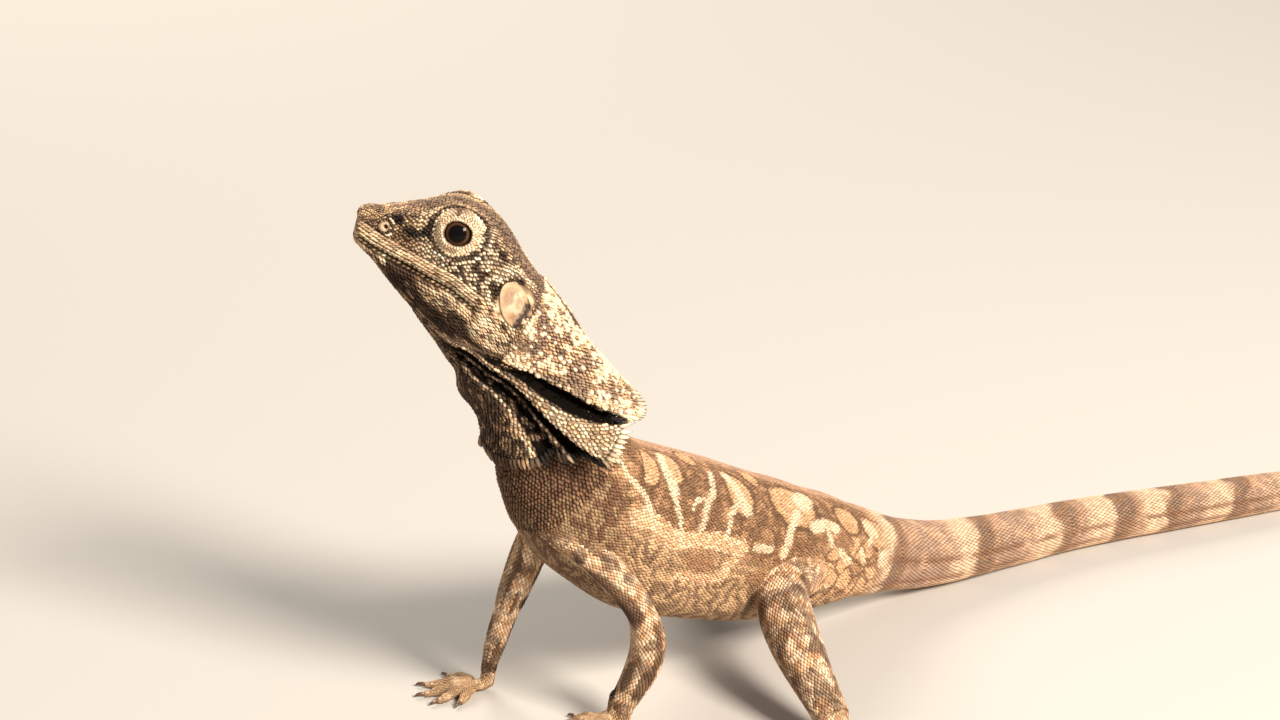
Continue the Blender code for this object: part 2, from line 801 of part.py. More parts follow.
def leg_path(leg, steps):
    """Centre line and radius of a leg, its knee rounded."""
    hip, knee, ankle = [plan_point(*j) for j in leg.joints]
    knots = np.array([0.0, 1.0 - KNEE_BEND, 1.0 + KNEE_BEND, 2.0])
    above = knee + (hip - knee) * KNEE_BEND
    below = knee + (ankle - knee) * KNEE_BEND
    t = np.linspace(0, 2, steps)
    path = spline_through(knots, np.stack([hip, above, below, ankle]), t)
    radius = cubic_through(knots, np.array(leg.radii)[:, None], t)[:, 0]
    return t, path, radius * (1 + MUSCLE_SWELL * np.sin(np.pi * t) ** 2)


def along_leg(leg, at):
    """Centre, direction and radius at shares of a leg's path, with 1 at the knee."""
    t, path, radius = leg_path(leg, LEG_SAMPLES)
    ahead = np.gradient(path, axis=0)
    both = np.concatenate([path, ahead, radius[:, None]], axis=1)
    found = np.stack([np.interp(at, t, column) for column in both.T], axis=-1)
    return found[..., :3], found[..., 3:6], found[..., 6]


def leg_part(leg, start, end, size):
    """One length of a leg, its ends square to the leg where it meets its neighbour."""
    rings, around = size
    at = np.linspace(start, end, rings)
    place, ahead, radius = along_leg(leg, at)
    knee = 0 if start > end - start else -1
    ahead[knee] = along_leg(leg, 1.0)[1]
    return ring_mesh(path_rings(place, radius, around, ahead))


def shank_end(leg):
    """Share of the leg's path where its lower length ends, the point and the direction."""
    knee, ankle = [plan_point(*j) for j in leg.joints[1:]]
    share = 2.0 - (ANKLE_LENGTH + GAP) / np.linalg.norm(ankle - knee)
    point, ahead, _ = along_leg(leg, share)
    return share, point, ahead / np.linalg.norm(ahead)


def heading_of(angle):
    """The level direction at this angle from -X towards +Y."""
    return np.array([-math.cos(angle), math.sin(angle), 0.0])


def toe_path(root, heading, length):
    """A toe's centre line, arched from the knuckle and down to the floor at its tip."""
    line = root + np.outer(np.array(TOE_SHARES) * length, heading_of(heading))
    line[:, 2] = TOE_HEIGHTS
    return line


def floor_block(middle):
    """A block filling the space under the floor round a point."""
    low = np.array([middle[0], middle[1], FLOOR - FLOOR_BLOCK[1]])
    top = np.array([middle[0], middle[1], FLOOR])
    return tube_mesh(low, top, (FLOOR_BLOCK[0],) * 2, 4, up_hint=(1, 0, 0))


def palm_mesh(leg, flat):
    """Ankle and palm or sole, from the shank's end to the roots of the toes."""
    ankle = plan_point(*leg.joints[2])
    _, top, shank = shank_end(leg)
    size = leg.radii[3]
    line = ankle + np.outer(np.array(PALM_AHEAD) * leg.foot_length, flat)
    line[:, 2] = np.array(PALM_HEIGHT) * size + PALM_LIFT
    path = np.concatenate([[top + shank * GAP], line])
    radii = size * np.array([PALM_WIDE, PALM_TALL]).T
    square = np.gradient(path, axis=0)
    square[0] = shank
    return ring_mesh(path_rings(path, radii, PALM_POINTS, square))


def toe_root(leg, turn):
    """Where a toe leaves the foot.

    Args:
        leg: the leg it is on.
        turn: the toe's turn from the foot's heading towards the outside, in radians.
    """
    heading = math.radians(leg.foot_heading)
    outside = -leg.outside * np.array([math.sin(heading), math.cos(heading), 0.0])
    reach, gain, aside = TOE_ROOT
    ahead = leg.foot_length * (reach + gain * math.cos(turn))
    sideways = leg.radii[3] * aside * math.sin(turn)
    ankle = plan_point(*leg.joints[2])
    return ankle + heading_of(heading) * ahead + outside * sideways


def build_foot(leg):
    """A foot with its five toes as one solid, and its claws."""
    heading = math.radians(leg.foot_heading)
    toes = []
    for number, (length, spread) in enumerate(zip(leg.toe_lengths, leg.toe_angles), 1):
        turn = math.radians(spread)
        ahead = heading - leg.outside * turn
        line = toe_path(toe_root(leg, turn), ahead, length)
        toes.append(ring_mesh(path_rings(line, TOE_RADII, TOE_POINTS)))
        build_claw(f"claw_{leg.name}_{number}", line[-1], ahead)
    foot = combined(palm_mesh(leg, heading_of(heading)), toes, "UNION")
    trim = floor_block(plan_point(*leg.joints[2]))
    foot = largest_part(combined(foot, [trim], "DIFFERENCE"))
    object_from(f"foot_{leg.name}", foot, SKIN_PALE)


def build_claw(name, tip, heading):
    """A curved claw just beyond the end of a toe."""
    path = tip + np.outer(CLAW_AHEAD, heading_of(heading))
    path[:, 2] = CLAW_HEIGHTS
    object_from(name, ring_mesh(path_rings(path, CLAW_RADII, CLAW_POINTS)), CLAW_HORN)


def clear_of_body(mesh):
    """The mesh with the body and a gap round it cut away."""
    body = ring_mesh(body_rings(*BODY_CLEARANCE, CLEARANCE_MESH, GAP))
    return largest_part(combined(mesh, [body], "DIFFERENCE"))


def build_legs():
    """Upper leg, lower leg, foot and claws of each leg."""
    for leg in LEGS:
        upper = leg_part(leg, 0.0, 1.0 - KNEE_GAP, UPPER_LEG_MESH)
        object_from(f"upper_{leg.name}", clear_of_body(upper), SKIN_TAN)
        lower = leg_part(leg, 1.0 + KNEE_GAP, shank_end(leg)[0], LOWER_LEG_MESH)
        object_from(f"lower_{leg.name}", clear_of_body(lower), SKIN_TAN)
        build_foot(leg)


def clear_scene():
    """Removes whatever the scene starts with."""
    for found in list(bpy.data.objects):
        bpy.data.objects.remove(found)


def main():
    """Builds the whole animal."""
    clear_scene()
    build_head()
    build_eyes_and_ears()
    build_trunk()
    build_frill()
    build_legs()


main()
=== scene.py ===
"""Looks of the life-size juvenile frilled lizard: skin, scales, eyes, claws and studio.

Shapes are worked out in millimetres along named lines of the animal and become metres
when a finished mesh is made. The animal faces -X, its left side is -Y and up is +Z.
"""

from __future__ import annotations

import logging
import math
from dataclasses import dataclass, replace
from enum import Enum
from typing import Callable, NamedTuple, Sequence

import bpy
import numpy as np
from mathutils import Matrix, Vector
from numpy.linalg import norm

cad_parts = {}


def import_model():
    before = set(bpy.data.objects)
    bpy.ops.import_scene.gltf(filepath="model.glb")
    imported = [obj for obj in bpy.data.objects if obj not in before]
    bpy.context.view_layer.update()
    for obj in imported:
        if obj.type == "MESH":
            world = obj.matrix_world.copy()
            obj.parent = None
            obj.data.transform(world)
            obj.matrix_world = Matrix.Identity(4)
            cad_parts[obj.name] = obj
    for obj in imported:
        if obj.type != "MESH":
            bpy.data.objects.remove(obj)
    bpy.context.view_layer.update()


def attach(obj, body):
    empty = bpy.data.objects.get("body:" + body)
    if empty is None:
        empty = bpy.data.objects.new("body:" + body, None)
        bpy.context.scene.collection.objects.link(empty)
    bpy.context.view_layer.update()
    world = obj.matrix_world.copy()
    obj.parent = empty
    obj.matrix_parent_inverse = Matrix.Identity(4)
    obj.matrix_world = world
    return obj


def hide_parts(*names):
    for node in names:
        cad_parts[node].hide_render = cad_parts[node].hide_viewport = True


Array = np.ndarray
Pair, Triple = tuple[float, float], tuple[float, float, float]
Surface = Callable[[Array, Array], Array]
Mesh, Item, Material = bpy.types.Mesh, bpy.types.Object, bpy.types.Material

log = logging.getLogger("lizard")

MM = 0.001
ROOT = "root"
COAT = 0.3  # depth of the scales over the skin
FLOOR = 0.0
TURN = 2 * math.pi
SIDES = ((1, "left"), (-1, "right"))
PLAN_ORIGIN = np.array([-344.84, -239.72, 0.0])
DIAGONAL_ACROSS = np.array([math.sqrt(0.5), -math.sqrt(0.5)])
DIAGONAL_ALONG = np.array([math.sqrt(0.5), math.sqrt(0.5)])


def rows_of(kind: type, *rows: tuple) -> tuple:
    """One of this kind for each row of its values."""
    return tuple(kind(*row) for row in rows)


# ---- the body's plan


@dataclass(frozen=True)
class Station:
    """One cross-section of the body: where it is, how it is turned and how big it is.

    Yaw turns the forward normal from -X towards +Y and pitch raises it, in degrees.
    Boxiness is the superellipse exponent, 2 for an ellipse.
    """

    across: float
    along: float
    height: float
    yaw: float
    pitch: float
    half_width: float
    up: float
    down: float
    boxiness: float


# Snout, nose, nostril, muzzle, eye, temple, ear, nape, neck base, shoulder, ribs, belly,
# flank, hips and nine of the tail.
BODY = rows_of(
    Station,
    (-34.9, 342.5, 68.6, 45, 15, 1.2, 1, 1.5, 2),
    (-34.2, 342.5, 68.5, 45, 15, 2.1, 1.9, 2.5, 2.3),
    (-31.9, 342.5, 67.6, 45, 15, 3.1, 2.9, 3.9, 2.4),
    (-28.2, 342.5, 66, 45, 15, 4.3, 4.9, 6.5, 2.6),
    (-23.2, 342.5, 64.2, 45, 15, 6.2, 7.3, 9.4, 2.8),
    (-19.5, 342.5, 62.6, 45, 17, 7.2, 6.6, 11, 2.5),
    (-16, 342.3, 58.7, 43, 30, 7.2, 4.9, 10.4, 2.1),
    (-12.4, 342, 52, 36, 46, 6.2, 5.5, 8.4, 2),
    (-9.6, 343, 42.6, 22, 44, 7.8, 6.2, 12.1, 2),
    (-6.2, 346.8, 33.4, 10, 37, 10.4, 6.8, 12.7, 2.3),
    (2, 353.4, 26.6, 7, 24, 10.2, 7.6, 14.7, 2.2),
    (13, 363.4, 18.8, 7, 20, 10.2, 8, 12.8, 2.2),
    (22.5, 371.6, 13.2, 7, 18, 8.9, 7.4, 9.4, 2.2),
    (29.5, 377.8, 9.4, 8, 14, 7, 6.4, 6.8, 2.1),
    (36.5, 383.2, 6.4, 12, 10, 5.4, 5.2, 5.4, 2.1),
    (47, 389.8, 4.5, 14, 2, 4.5, 4.3, 4.7, 2.1),
    (62, 399, 3.8, 18, 0, 3.8, 3.7, 4.1, 2.1),
    (82, 408, 3.4, 20, 0, 3.4, 3.3, 3.7, 2.1),
    (99, 415.4, 3, 22, 0, 3, 2.9, 3.3, 2.1),
    (126, 425.6, 2.3, 22, 0, 2.3, 2.2, 2.55, 2.1),
    (152, 437.4, 1.7, 18, 0, 1.7, 1.6, 1.9, 2.1),
    (176, 451.6, 1.1, 12, 0, 1.1, 1.1, 1.25, 2.1),
    (200, 469, 0.7, 8, 0, 0.6, 0.6, 0.8, 2.1),
)
HEAD_END = 24.5
NECK_END = 44.5
TRUNK_END = 97.0
MOUTH_CORNER = 17.2


def plan_point(across: float, along: float, height: float) -> Array:
    """Position in the animal's frame of a point of the plan."""
    flat = across * DIAGONAL_ACROSS + along * DIAGONAL_ALONG
    return np.array([flat[0], flat[1], height]) + PLAN_ORIGIN


def unit(vectors: Array) -> Array:
    """Vectors scaled to length one."""
    return vectors / np.maximum(norm(vectors, axis=-1, keepdims=True), 1e-9)


def raised(points: Array, least: float) -> Array:
    """The points with none of them lower than this."""
    points[..., 2] = np.maximum(points[..., 2], least)
    return points


def full_turn(count: int) -> Array:
    """Evenly spaced turns once round, as a row."""
    return np.linspace(0, TURN, count, endpoint=False)[None, :]


def ease(low: float, high: float, value: Array) -> Array:
    """0 up to low, 1 from high on, and 3t^2 - 2t^3 between them."""
    t = np.clip((value - low) / (high - low), 0, 1)
    return t * t * (3 - 2 * t)


def bell(value: Array, width: float) -> Array:
    """1 at 0 and falling to either side: exp(-(value / width)^2)."""
    return np.exp(-((value / width) ** 2))


def cubic_through(knots: Array, values: Array, at: Array) -> Array:
    """Cubic Hermite values with harmonic-mean tangents, which never overshoot a knot's.

    Args:
        knots: increasing positions, shape (k,).
        values: the value at each knot, shape (k, columns).
        at: the positions wanted, shape (n,).

    Returns:
        Values, shape (n, columns).
    """
    step = np.diff(knots)[:, None]
    slope = np.diff(values, axis=0) / step
    before, after = slope[:-1], slope[1:]
    same = before * after > 0
    safe = np.where(same, before + after, 1.0)
    middle = np.where(same, 2.0 * before * after / safe, 0.0)
    tangent = np.concatenate([slope[:1], middle, slope[-1:]])
    index = np.clip(np.searchsorted(knots, at, side="right") - 1, 0, len(knots) - 2)
    width = step[index]
    t = (at[:, None] - knots[index][:, None]) / width
    return (
        (2 * t**3 - 3 * t**2 + 1) * values[index] + (t**3 - 2 * t**2 + t) * width * tangent[index]
        + (3 * t**2 - 2 * t**3) * values[index + 1] + (t**3 - t**2) * width * tangent[index + 1]
    )


def spline_through(knots: Array, values: Array, at: Array) -> Array:
    """The same by a natural cubic spline, whose curvature is continuous."""
    step = np.diff(knots)
    matrix = np.eye(len(knots))
    inner = np.arange(1, len(knots) - 1)
    matrix[inner, inner - 1] = step[:-1]
    matrix[inner, inner] = 2 * (step[:-1] + step[1:])
    matrix[inner, inner + 1] = step[1:]
    slope = np.diff(values, axis=0) / step[:, None]
    right = np.zeros_like(values)
    right[1:-1] = 6 * np.diff(slope, axis=0)
    bend = np.linalg.solve(matrix, right)
    index = np.clip(np.searchsorted(knots, at, side="right") - 1, 0, len(knots) - 2)
    width = step[index][:, None]
    left = (at - knots[index])[:, None]
    rest = width - left
    return (
        (bend[index] * rest**3 + bend[index + 1] * left**3) / (6 * width)
        + (values[index] / width - bend[index] * width / 6) * rest
        + (values[index + 1] / width - bend[index + 1] * width / 6) * left
    )


def through_three(root: Array, waist: Array, tip: Array, along: Array) -> Array:
    """The quadratic through values at the start, the middle and the end, 0 to 1."""
    return (
        root * (1 - along) * (1 - 2 * along) + waist * 4 * along * (1 - along)
        + tip * along * (2 * along - 1)
    )


class BodyLine:
    """The line through the body's stations, with the section at any distance along it."""

    def __init__(self, stations: Sequence[Station]) -> None:
        """Measures the line's length from station to station."""
        self.centres = np.array([plan_point(s.across, s.along, s.height) for s in stations])
        steps = norm(np.diff(self.centres, axis=0), axis=1)
        self.knots = np.concatenate([[0.0], np.cumsum(steps)])
        self.turns = np.radians([[s.yaw, s.pitch] for s in stations])
        self.sizes = np.array([[s.half_width, s.up, s.down, s.boxiness] for s in stations])
        self.length = float(self.knots[-1])

    def frames(self, at: Array) -> tuple[Array, Array, Array, Array]:
        """Centre, left and up directions and sizes of the sections at these distances."""
        at = np.atleast_1d(np.asarray(at, float))
        centre = spline_through(self.knots, self.centres, at)
        yaw, pitch = cubic_through(self.knots, self.turns, at).T
        flat = np.stack([-np.cos(yaw), np.sin(yaw)], axis=1)
        left = np.stack([-flat[:, 1], flat[:, 0], np.zeros(len(at))], axis=1)
        up = np.concatenate([-np.sin(pitch)[:, None] * flat, np.cos(pitch)[:, None]], axis=1)
        return centre, left, up, cubic_through(self.knots, self.sizes, at)

    def points(self, at: Array, turn: Array, outward: Array | float = 0.0) -> Array:
        """Points on superellipses, |x/a|^n + |y/b|^n = 1, with b of its own above and below.

        Args:
            at: distances from the snout.
            turn: angles from the top towards the left side, in radians.
            outward: distance added to the section's radius.

        Returns:
            Points, with a last axis of 3.
        """
        at, turn, outward = np.broadcast_arrays(at, turn, outward)
        centre, left, up, size = self.frames(at.ravel())
        across, rise = np.sin(turn.ravel()), np.cos(turn.ravel())
        reach = np.where(rise > 0, size[:, 1], size[:, 2])
        power = size[:, 3]
        radius = (
            np.abs(across / size[:, 0]) ** power + np.abs(rise / reach) ** power
        ) ** (-1 / power) + outward.ravel()
        point = centre + radius[:, None] * (across[:, None] * left + rise[:, None] * up)
        return point.reshape(*at.shape, 3)


LINE = BodyLine(BODY)


class Tube:
    """A bent tube of oval section along a path: a leg, a palm or a toe."""

    def __init__(self, path: Array, radii: Array) -> None:
        """Carries a side direction along the path without twist.

        Args:
            path: points, shape (n, 3).
            radii: half width and half height at each, shape (n, 2).
        """
        steps = norm(np.diff(path, axis=0), axis=1)
        self.knots = np.concatenate([[0.0], np.cumsum(steps)])
        self.length = float(self.knots[-1])
        ahead = unit(np.gradient(path, axis=0))
        side = np.zeros_like(path)
        guide = np.cross(ahead[0], (0.0, 0.0, 1.0))
        if norm(guide) < 0.2:
            guide = np.cross(ahead[0], (1.0, 0.0, 0.0))
        for row, direction in enumerate(ahead):
            guide = unit(guide - direction * (guide @ direction))
            side[row] = guide
        over = np.cross(side, ahead)
        self.table = np.concatenate([path, side, over, radii], axis=1)

    def points(self, at: Array, turn: Array, outward: Array | float = 0.0) -> Array:
        """Points of the tube, centre + r (a sin(turn) + b cos(turn)), as for the body's line."""
        at, turn, outward = np.broadcast_arrays(at, turn, outward)
        found = np.stack([np.interp(at.ravel(), self.knots, column) for column in self.table.T], axis=1)
        wide, tall = found[:, 9:11].T + outward.ravel()
        across = (wide * np.sin(turn.ravel()))[:, None] * found[:, 3:6]
        rise = (tall * np.cos(turn.ravel()))[:, None] * found[:, 6:9]
        return (found[:, :3] + across + rise).reshape(*at.shape, 3)


@dataclass(frozen=True)
class Leg:
    """Joints and thicknesses of one leg, as in the solids.

    Joints are plan positions of hip, knee and ankle; headings are degrees from -X
    towards +Y; toes are listed from the innermost to the outermost.
    """

    name: str
    joints: tuple[Triple, ...]
    radii: tuple[float, ...]
    foot_heading: float
    foot_length: float
    toe_lengths: tuple[float, ...]
    toe_angles: tuple[float, ...]
    outside: int

    @property
    def ankle(self) -> Array:
        """The ankle's position."""
        return plan_point(*self.joints[2])

    def limb(self) -> Tube:
        """Thigh and shank, with a rounded knee and a swelling muscle in each."""
        hip, knee, ankle = [plan_point(*j) for j in self.joints]
        knots = np.array([0.0, 1.0 - KNEE_BEND, 1.0 + KNEE_BEND, 2.0])
        above = knee + (hip - knee) * KNEE_BEND
        below = knee + (ankle - knee) * KNEE_BEND
        share = np.linspace(0, 2, LIMB_SAMPLES)
        path = spline_through(knots, np.stack([hip, above, below, ankle]), share)
        radius = cubic_through(knots, np.array(self.radii)[:, None], share)
        swell = 1 + MUSCLE_SWELL * np.sin(np.pi * share[:, None]) ** 2
        return Tube(path, radius * swell * np.ones(2))

    def palm(self) -> Tube:
        """Palm or sole, from the ankle to the roots of the toes."""
        knee = plan_point(*self.joints[1])
        flat = heading_of(math.radians(self.foot_heading))
        size = self.radii[3]
        line = self.ankle + np.outer(np.array(PALM_AHEAD) * self.foot_length, flat)
        line[:, 2] = np.array(PALM_HEIGHT) * size + PALM_LIFT
        start = self.ankle + unit(knee - self.ankle) * ANKLE_LENGTH
        path = np.concatenate([[start], line])
        return Tube(path, size * np.array([PALM_WIDE, PALM_TALL]).T)

    def toes(self) -> list[tuple[Tube, float]]:
        """Each toe's tube and the heading of its claw, in radians."""
        heading = math.radians(self.foot_heading)
        outside = -self.outside * np.array([math.sin(heading), math.cos(heading), 0.0])
        made = []
        for length, spread in zip(self.toe_lengths, self.toe_angles):
            turn = math.radians(spread)
            reach, gain, aside = TOE_ROOT
            ahead = self.foot_length * (reach + gain * math.cos(turn))
            root = self.ankle + heading_of(heading) * ahead
            root = root + outside * self.radii[3] * aside * math.sin(turn)
            way = heading - self.outside * turn
            line = root + np.outer(np.array(TOE_SHARES) * length, heading_of(way))
            line[:, 2] = TOE_HEIGHTS
            knots = np.array(TOE_SHARES)
            share = np.linspace(0, 1, TOE_SAMPLES)
            radius = cubic_through(knots, np.array(TOE_RADII)[:, None], share)
            knuckles = 1 + KNUCKLE * np.cos(share[:, None] * TURN * length / KNUCKLE_PITCH)
            tube = Tube(spline_through(knots, line, share), radius * knuckles * np.ones(2))
            made.append((tube, way))
        return made


def heading_of(angle: float) -> Array:
    """The level direction at this angle from -X towards +Y."""
    return np.array([-math.cos(angle), math.sin(angle), 0.0])


KNEE_BEND = 0.16
LIMB_SAMPLES = 121
MUSCLE_SWELL = 0.10
ANKLE_LENGTH = 1.7
PALM_AHEAD = (0.06, 0.34, 0.64, 0.95, 1.12)
PALM_HEIGHT = (0.82, 0.70, 0.60, 0.52, 0.46)
PALM_WIDE = (1.0, 1.02, 1.1, 1.25, 1.4, 1.15)
PALM_TALL = (1.0, 0.94, 0.8, 0.64, 0.52, 0.36)
PALM_LIFT = 0.1
TOE_SHARES = (0.0, 0.3, 0.65, 1.0)
TOE_HEIGHTS = (1.0, 1.15, 0.64, 0.36)
TOE_RADII = (0.92, 0.82, 0.74, 0.5)
TOE_ROOT = (0.45, 0.4, 0.95)
TOE_SAMPLES = 25
KNUCKLE = 0.06  # swelling of a toe's joints
KNUCKLE_PITCH = 2.0
CLAW_AHEAD = (0.0, 0.35, 0.75, 1.05, 1.25)
CLAW_HEIGHTS = (0.45, 0.52, 0.5, 0.38, 0.2)
CLAW_RADII = ((0.24, 0.3), (0.23, 0.32), (0.17, 0.26), (0.1, 0.15), (0.03, 0.04))

FORE_TOES = (3.6, 5.0, 5.8, 5.8, 4.4)
HIND_TOES = (3.8, 5.6, 8.0, 10.6, 6.4)
FORE_SPREAD = (-52, -24, 0, 24, 58)
HIND_SPREAD = (-40, -20, -3, 14, 44)
HIND_RADII = (5.2, 4.0, 3.7, 2.5)

LEGS = (
    Leg(
        "fore_left", ((-10.9, 338.4, 30.7), (1.7, 340.3, 15.5), (-2.7, 341, 3.3)),
        (2.5, 2, 2.35, 1.9), 30, 3.8, FORE_TOES, FORE_SPREAD, 1,
    ),
    Leg(
        "fore_right", ((-11.2, 348, 30), (-17.2, 347.4, 14.6), (-20.2, 352.6, 3)),
        (2.4, 2.2, 1.75, 1.15), 30, 3.4, FORE_TOES, FORE_SPREAD, -1,
    ),
    Leg(
        "hind_left", ((26.5, 375, 10.4), (17.8, 354.8, 14), (24.6, 337.2, 3.6)), HIND_RADII,
        -52, 6.4, HIND_TOES, HIND_SPREAD, 1,
    ),
    Leg(
        "hind_right", ((24.4, 377, 10.4), (6, 378.6, 13), (8.6, 395.6, 3.6)), HIND_RADII,
        58, 6.4, HIND_TOES, HIND_SPREAD, -1,
    ),
)


@dataclass(frozen=True)
class HeadFeature:
    """A place on the head's side: distance from the snout, height and distance aside."""

    at: float
    rise: float
    aside: float

    def place(self, side: int) -> Array:
        """Its position on the left side, +1, or the right, -1."""
        centre, left, up, _ = LINE.frames(np.array([self.at]))
        return centre[0] + self.rise * up[0] + side * self.aside * left[0]

    def axes(self, side: int, tilt: Pair = (0.0, 0.0)) -> tuple[Array, Array, Array]:
        """Outward, forward and upward directions there, square to each other.

        Args:
            side: +1 for the left side, -1 for the right.
            tilt: forward and upward share added to the outward direction.
        """
        _, left, up, _ = LINE.frames(np.array([self.at]))
        forward = np.cross(left[0], up[0])
        out = unit(side * left[0] + tilt[0] * forward + tilt[1] * up[0])
        ahead = unit(forward - out * (forward @ out))
        return out, ahead, unit(up[0] - out * (up[0] @ out) - ahead * (up[0] @ ahead))


EYE = HeadFeature(12.9, 4.1, 3.7)
EYE_RADIUS = 2.45
EYE_TILT = (0.12, 0.22)
NOSTRIL = HeadFeature(3.9, 1.35, 2.85)
DRUM = HeadFeature(21.9, 1.3, 6.75)
DRUM_HALF = (2.5, 2.45)
DRUM_TURN = 78.0  # degrees from the top


@dataclass(frozen=True)
class Pleat:
    """One fold line of the frill, from its root on the neck to the free edge.

    Root, waist and tip each have the distance from the snout, the angle from the top
    in degrees and the height over the neck.
    """

    root: Triple
    waist: Triple
    tip: Triple


# The dorsal edge, then the leaves' edges and the valleys between them, down to the throat.
PLEATS = rows_of(
    Pleat,
    ((24, 32, -0.35), (32.5, 26, 0.9), (41.3, 22, 2.9)),
    ((24, 62, -0.35), (33, 53, 1.6), (43.2, 42, 3.5)),
    ((24.6, 128, -0.35), (31.6, 87, 1.7), (41.2, 60, 3.8)),
    ((25, 134, -0.35), (31, 98, 0.2), (39.3, 65, 0.4)),
    ((11.5, 156, -0.35), (27.1, 119, 1.8), (40.2, 71, 4.6)),
    ((11.3, 159, -0.35), (27.3, 122, 1.7), (40.8, 89, 4.4)),
    ((11.2, 162, -0.35), (26.6, 127, 0.2), (39.6, 100, 0.4)),
    ((11, 165, -0.35), (26.1, 132, 1.3), (38.3, 110, 1.9)),
    ((10.8, 168, -0.35), (26, 137, 0.4), (37, 121, 0.6)),
    ((10.6, 171, -0.35), (25.8, 142, 1.8), (36.2, 133, 2)),
    ((10.2, 174, -0.35), (23.6, 160, 2.1), (34.6, 156, 2)),
    ((9, 178.6, -0.35), (21, 178.6, 2.3), (32.8, 178.4, 2.1)),
)
FRILL_LENGTH = 22.0


# ---- numbers over space


def lattice_value(cells: Array, seed: int) -> Array:
    """Repeatable random numbers, 0 to 1, of whole-number cells of space."""
    mixed = cells[..., 0] * 73856093 ^ cells[..., 1] * 19349663
    mixed = (mixed ^ cells[..., 2] * 83492791 ^ seed * 26544357) & 0xFFFFFFFF
    mixed = ((mixed ^ mixed >> 15) * 739188251) & 0xFFFFFFFF
    mixed = ((mixed ^ mixed >> 13) * 1274126177) & 0xFFFFFFFF
    return (mixed ^ mixed >> 16) / 0xFFFFFFFF


def noise(points: Array, size: float, seed: int = 0) -> Array:
    """Noise: the random values of a cell's corners, blended by 3t^2 - 2t^3.

    Args:
        points: places, shape (n, 3).
        size: about how wide its lumps are.
        seed: picks another noise.

    Returns:
        A number for each point, 0 to 1.
    """
    place = points / size
    cell = np.floor(place).astype(np.int64)
    t = place - cell
    t = t * t * (3 - 2 * t)
    total = np.zeros(len(points))
    for corner in np.ndindex(2, 2, 2):
        weight = np.prod(np.where(np.array(corner) == 1, t, 1 - t), axis=1)
        total += weight * lattice_value(cell + corner, seed)
    return total


def cell_edge(points: Array, size: float, seed: int = 0) -> Array:
    """How far each point is from the lines of a net of cells, in cell sizes.

    It is the distance to the second nearest of scattered centres, one in each cell of
    a lattice, less the distance to the nearest.
    """
    place = points / size
    cell = np.floor(place).astype(np.int64)
    near = np.full(len(points), 9.0)
    next_near = np.full(len(points), 9.0)
    for corner in np.ndindex(3, 3, 3):
        home = cell + corner - 1
        parts = [lattice_value(home, seed + axis) for axis in range(3)]
        gap = norm(home + np.stack(parts, axis=-1) - place, axis=-1)
        next_near = np.minimum(next_near, np.maximum(near, gap))
        near = np.minimum(near, gap)
    return next_near - near


def ramp(value: Array, low: float, high: float) -> Array:
    """How far each value is from low to high, held between 0 and 1."""
    return np.clip((value - low) / (high - low), 0, 1)


class Places(NamedTuple):
    """Places on the body.

    They have their distance from the snout, degrees from the top, 0 to 180,
    millimetres round the body for each degree, and position in space.
    """

    at: Array
    turn: Array
    girth: Array
    spot: Array | None = None


@dataclass(frozen=True)
class Trace:
    """A line on the body through points given as distance along and degrees from the top."""

    points: tuple[Pair, ...]
    width: float = 1.0
    height: float = 1.0

    def gap(self, here: Places) -> Array:
        """Least distance from its straight pieces, in millimetres."""
        at, turn, girth, _ = here
        least = np.full(at.shape, 99.0)
        for (a0, t0), (a1, t1) in zip(self.points[:-1], self.points[1:]):
            run = np.stack([np.full(at.shape, a1 - a0), (t1 - t0) * girth])
            off = np.stack([at - a0, (turn - t0) * girth])
            share = np.clip((run * off).sum(axis=0) / (run * run).sum(axis=0), 0, 1)
            least = np.minimum(least, norm(off - share * run, axis=0))
        return least

    def swell(self, here: Places) -> Array:
        """Its relief, height * exp(-(distance / width)^2)."""
        return self.height * bell(self.gap(here), self.width)


def girth_of(at: Array) -> Array:
    """Millimetres round the body for each degree, from the section's mean radius."""
    size = cubic_through(LINE.knots, LINE.sizes, np.ravel(at))
    mean = (2 * size[:, 0] + size[:, 1] + size[:, 2]) / 4
    return np.reshape(mean * math.pi / 180, np.shape(at))


def degrees_from_top(turn: Array) -> Array:
    """Angles from the top, 0 to 180 degrees on both sides, of turns in radians."""
    return np.degrees(np.abs((turn + math.pi) % TURN - math.pi))


# Relief of head and body: each line stands proud by its height or sinks by it.
MOUTH_LINE = ((0.2, 128), (2.5, 125), (5, 119), (8, 114), (13.5, 110), (17, 114))
RELIEF = rows_of(
    Trace,
    (((4, 44), (6.5, 36), (9.5, 33), (12, 25), (15, 27)), 0.75, 0.4),
    (((6, 66), (8.2, 64)), 1.5, -0.55),
    (((1, 108), (6, 101), (12, 98), (16, 103)), 0.7, 0.22),
    (MOUTH_LINE, 0.28, -0.5),
    (((2, 142), (8, 125), (14, 121), (17.5, 126)), 0.7, 0.16),
    (((15.5, 96), (18.5, 104)), 2.6, 0.5),
    (((17, 46), (20, 50)), 2.2, 0.35),
    (((15.4, 60), (16.6, 76)), 0.9, -0.35),
    (((19, 130), (22, 138)), 1.8, 0.35),
    (((3.9, 60), (3.95, 68)), 0.75, 0.32),
    (((18.7, 76), (19.1, 62), (20.6, 47), (22.8, 42)), 0.5, 0.26),
    (((23.1, 66), (23.6, 75)), 0.45, -0.45),
    (((42, 66), (48, 92)), 3.6, 0.55),
    (((50, 112), (70, 122), (88, 108)), 1.1, 0.28),
    (((50, 126), (70, 134), (88, 122)), 1, -0.2),
    (((86, 74), (94, 66)), 3, 0.45),
)
UNEVEN = 0.16  # height of the body's slow unevenness
UNEVEN_SIZE = 5.0
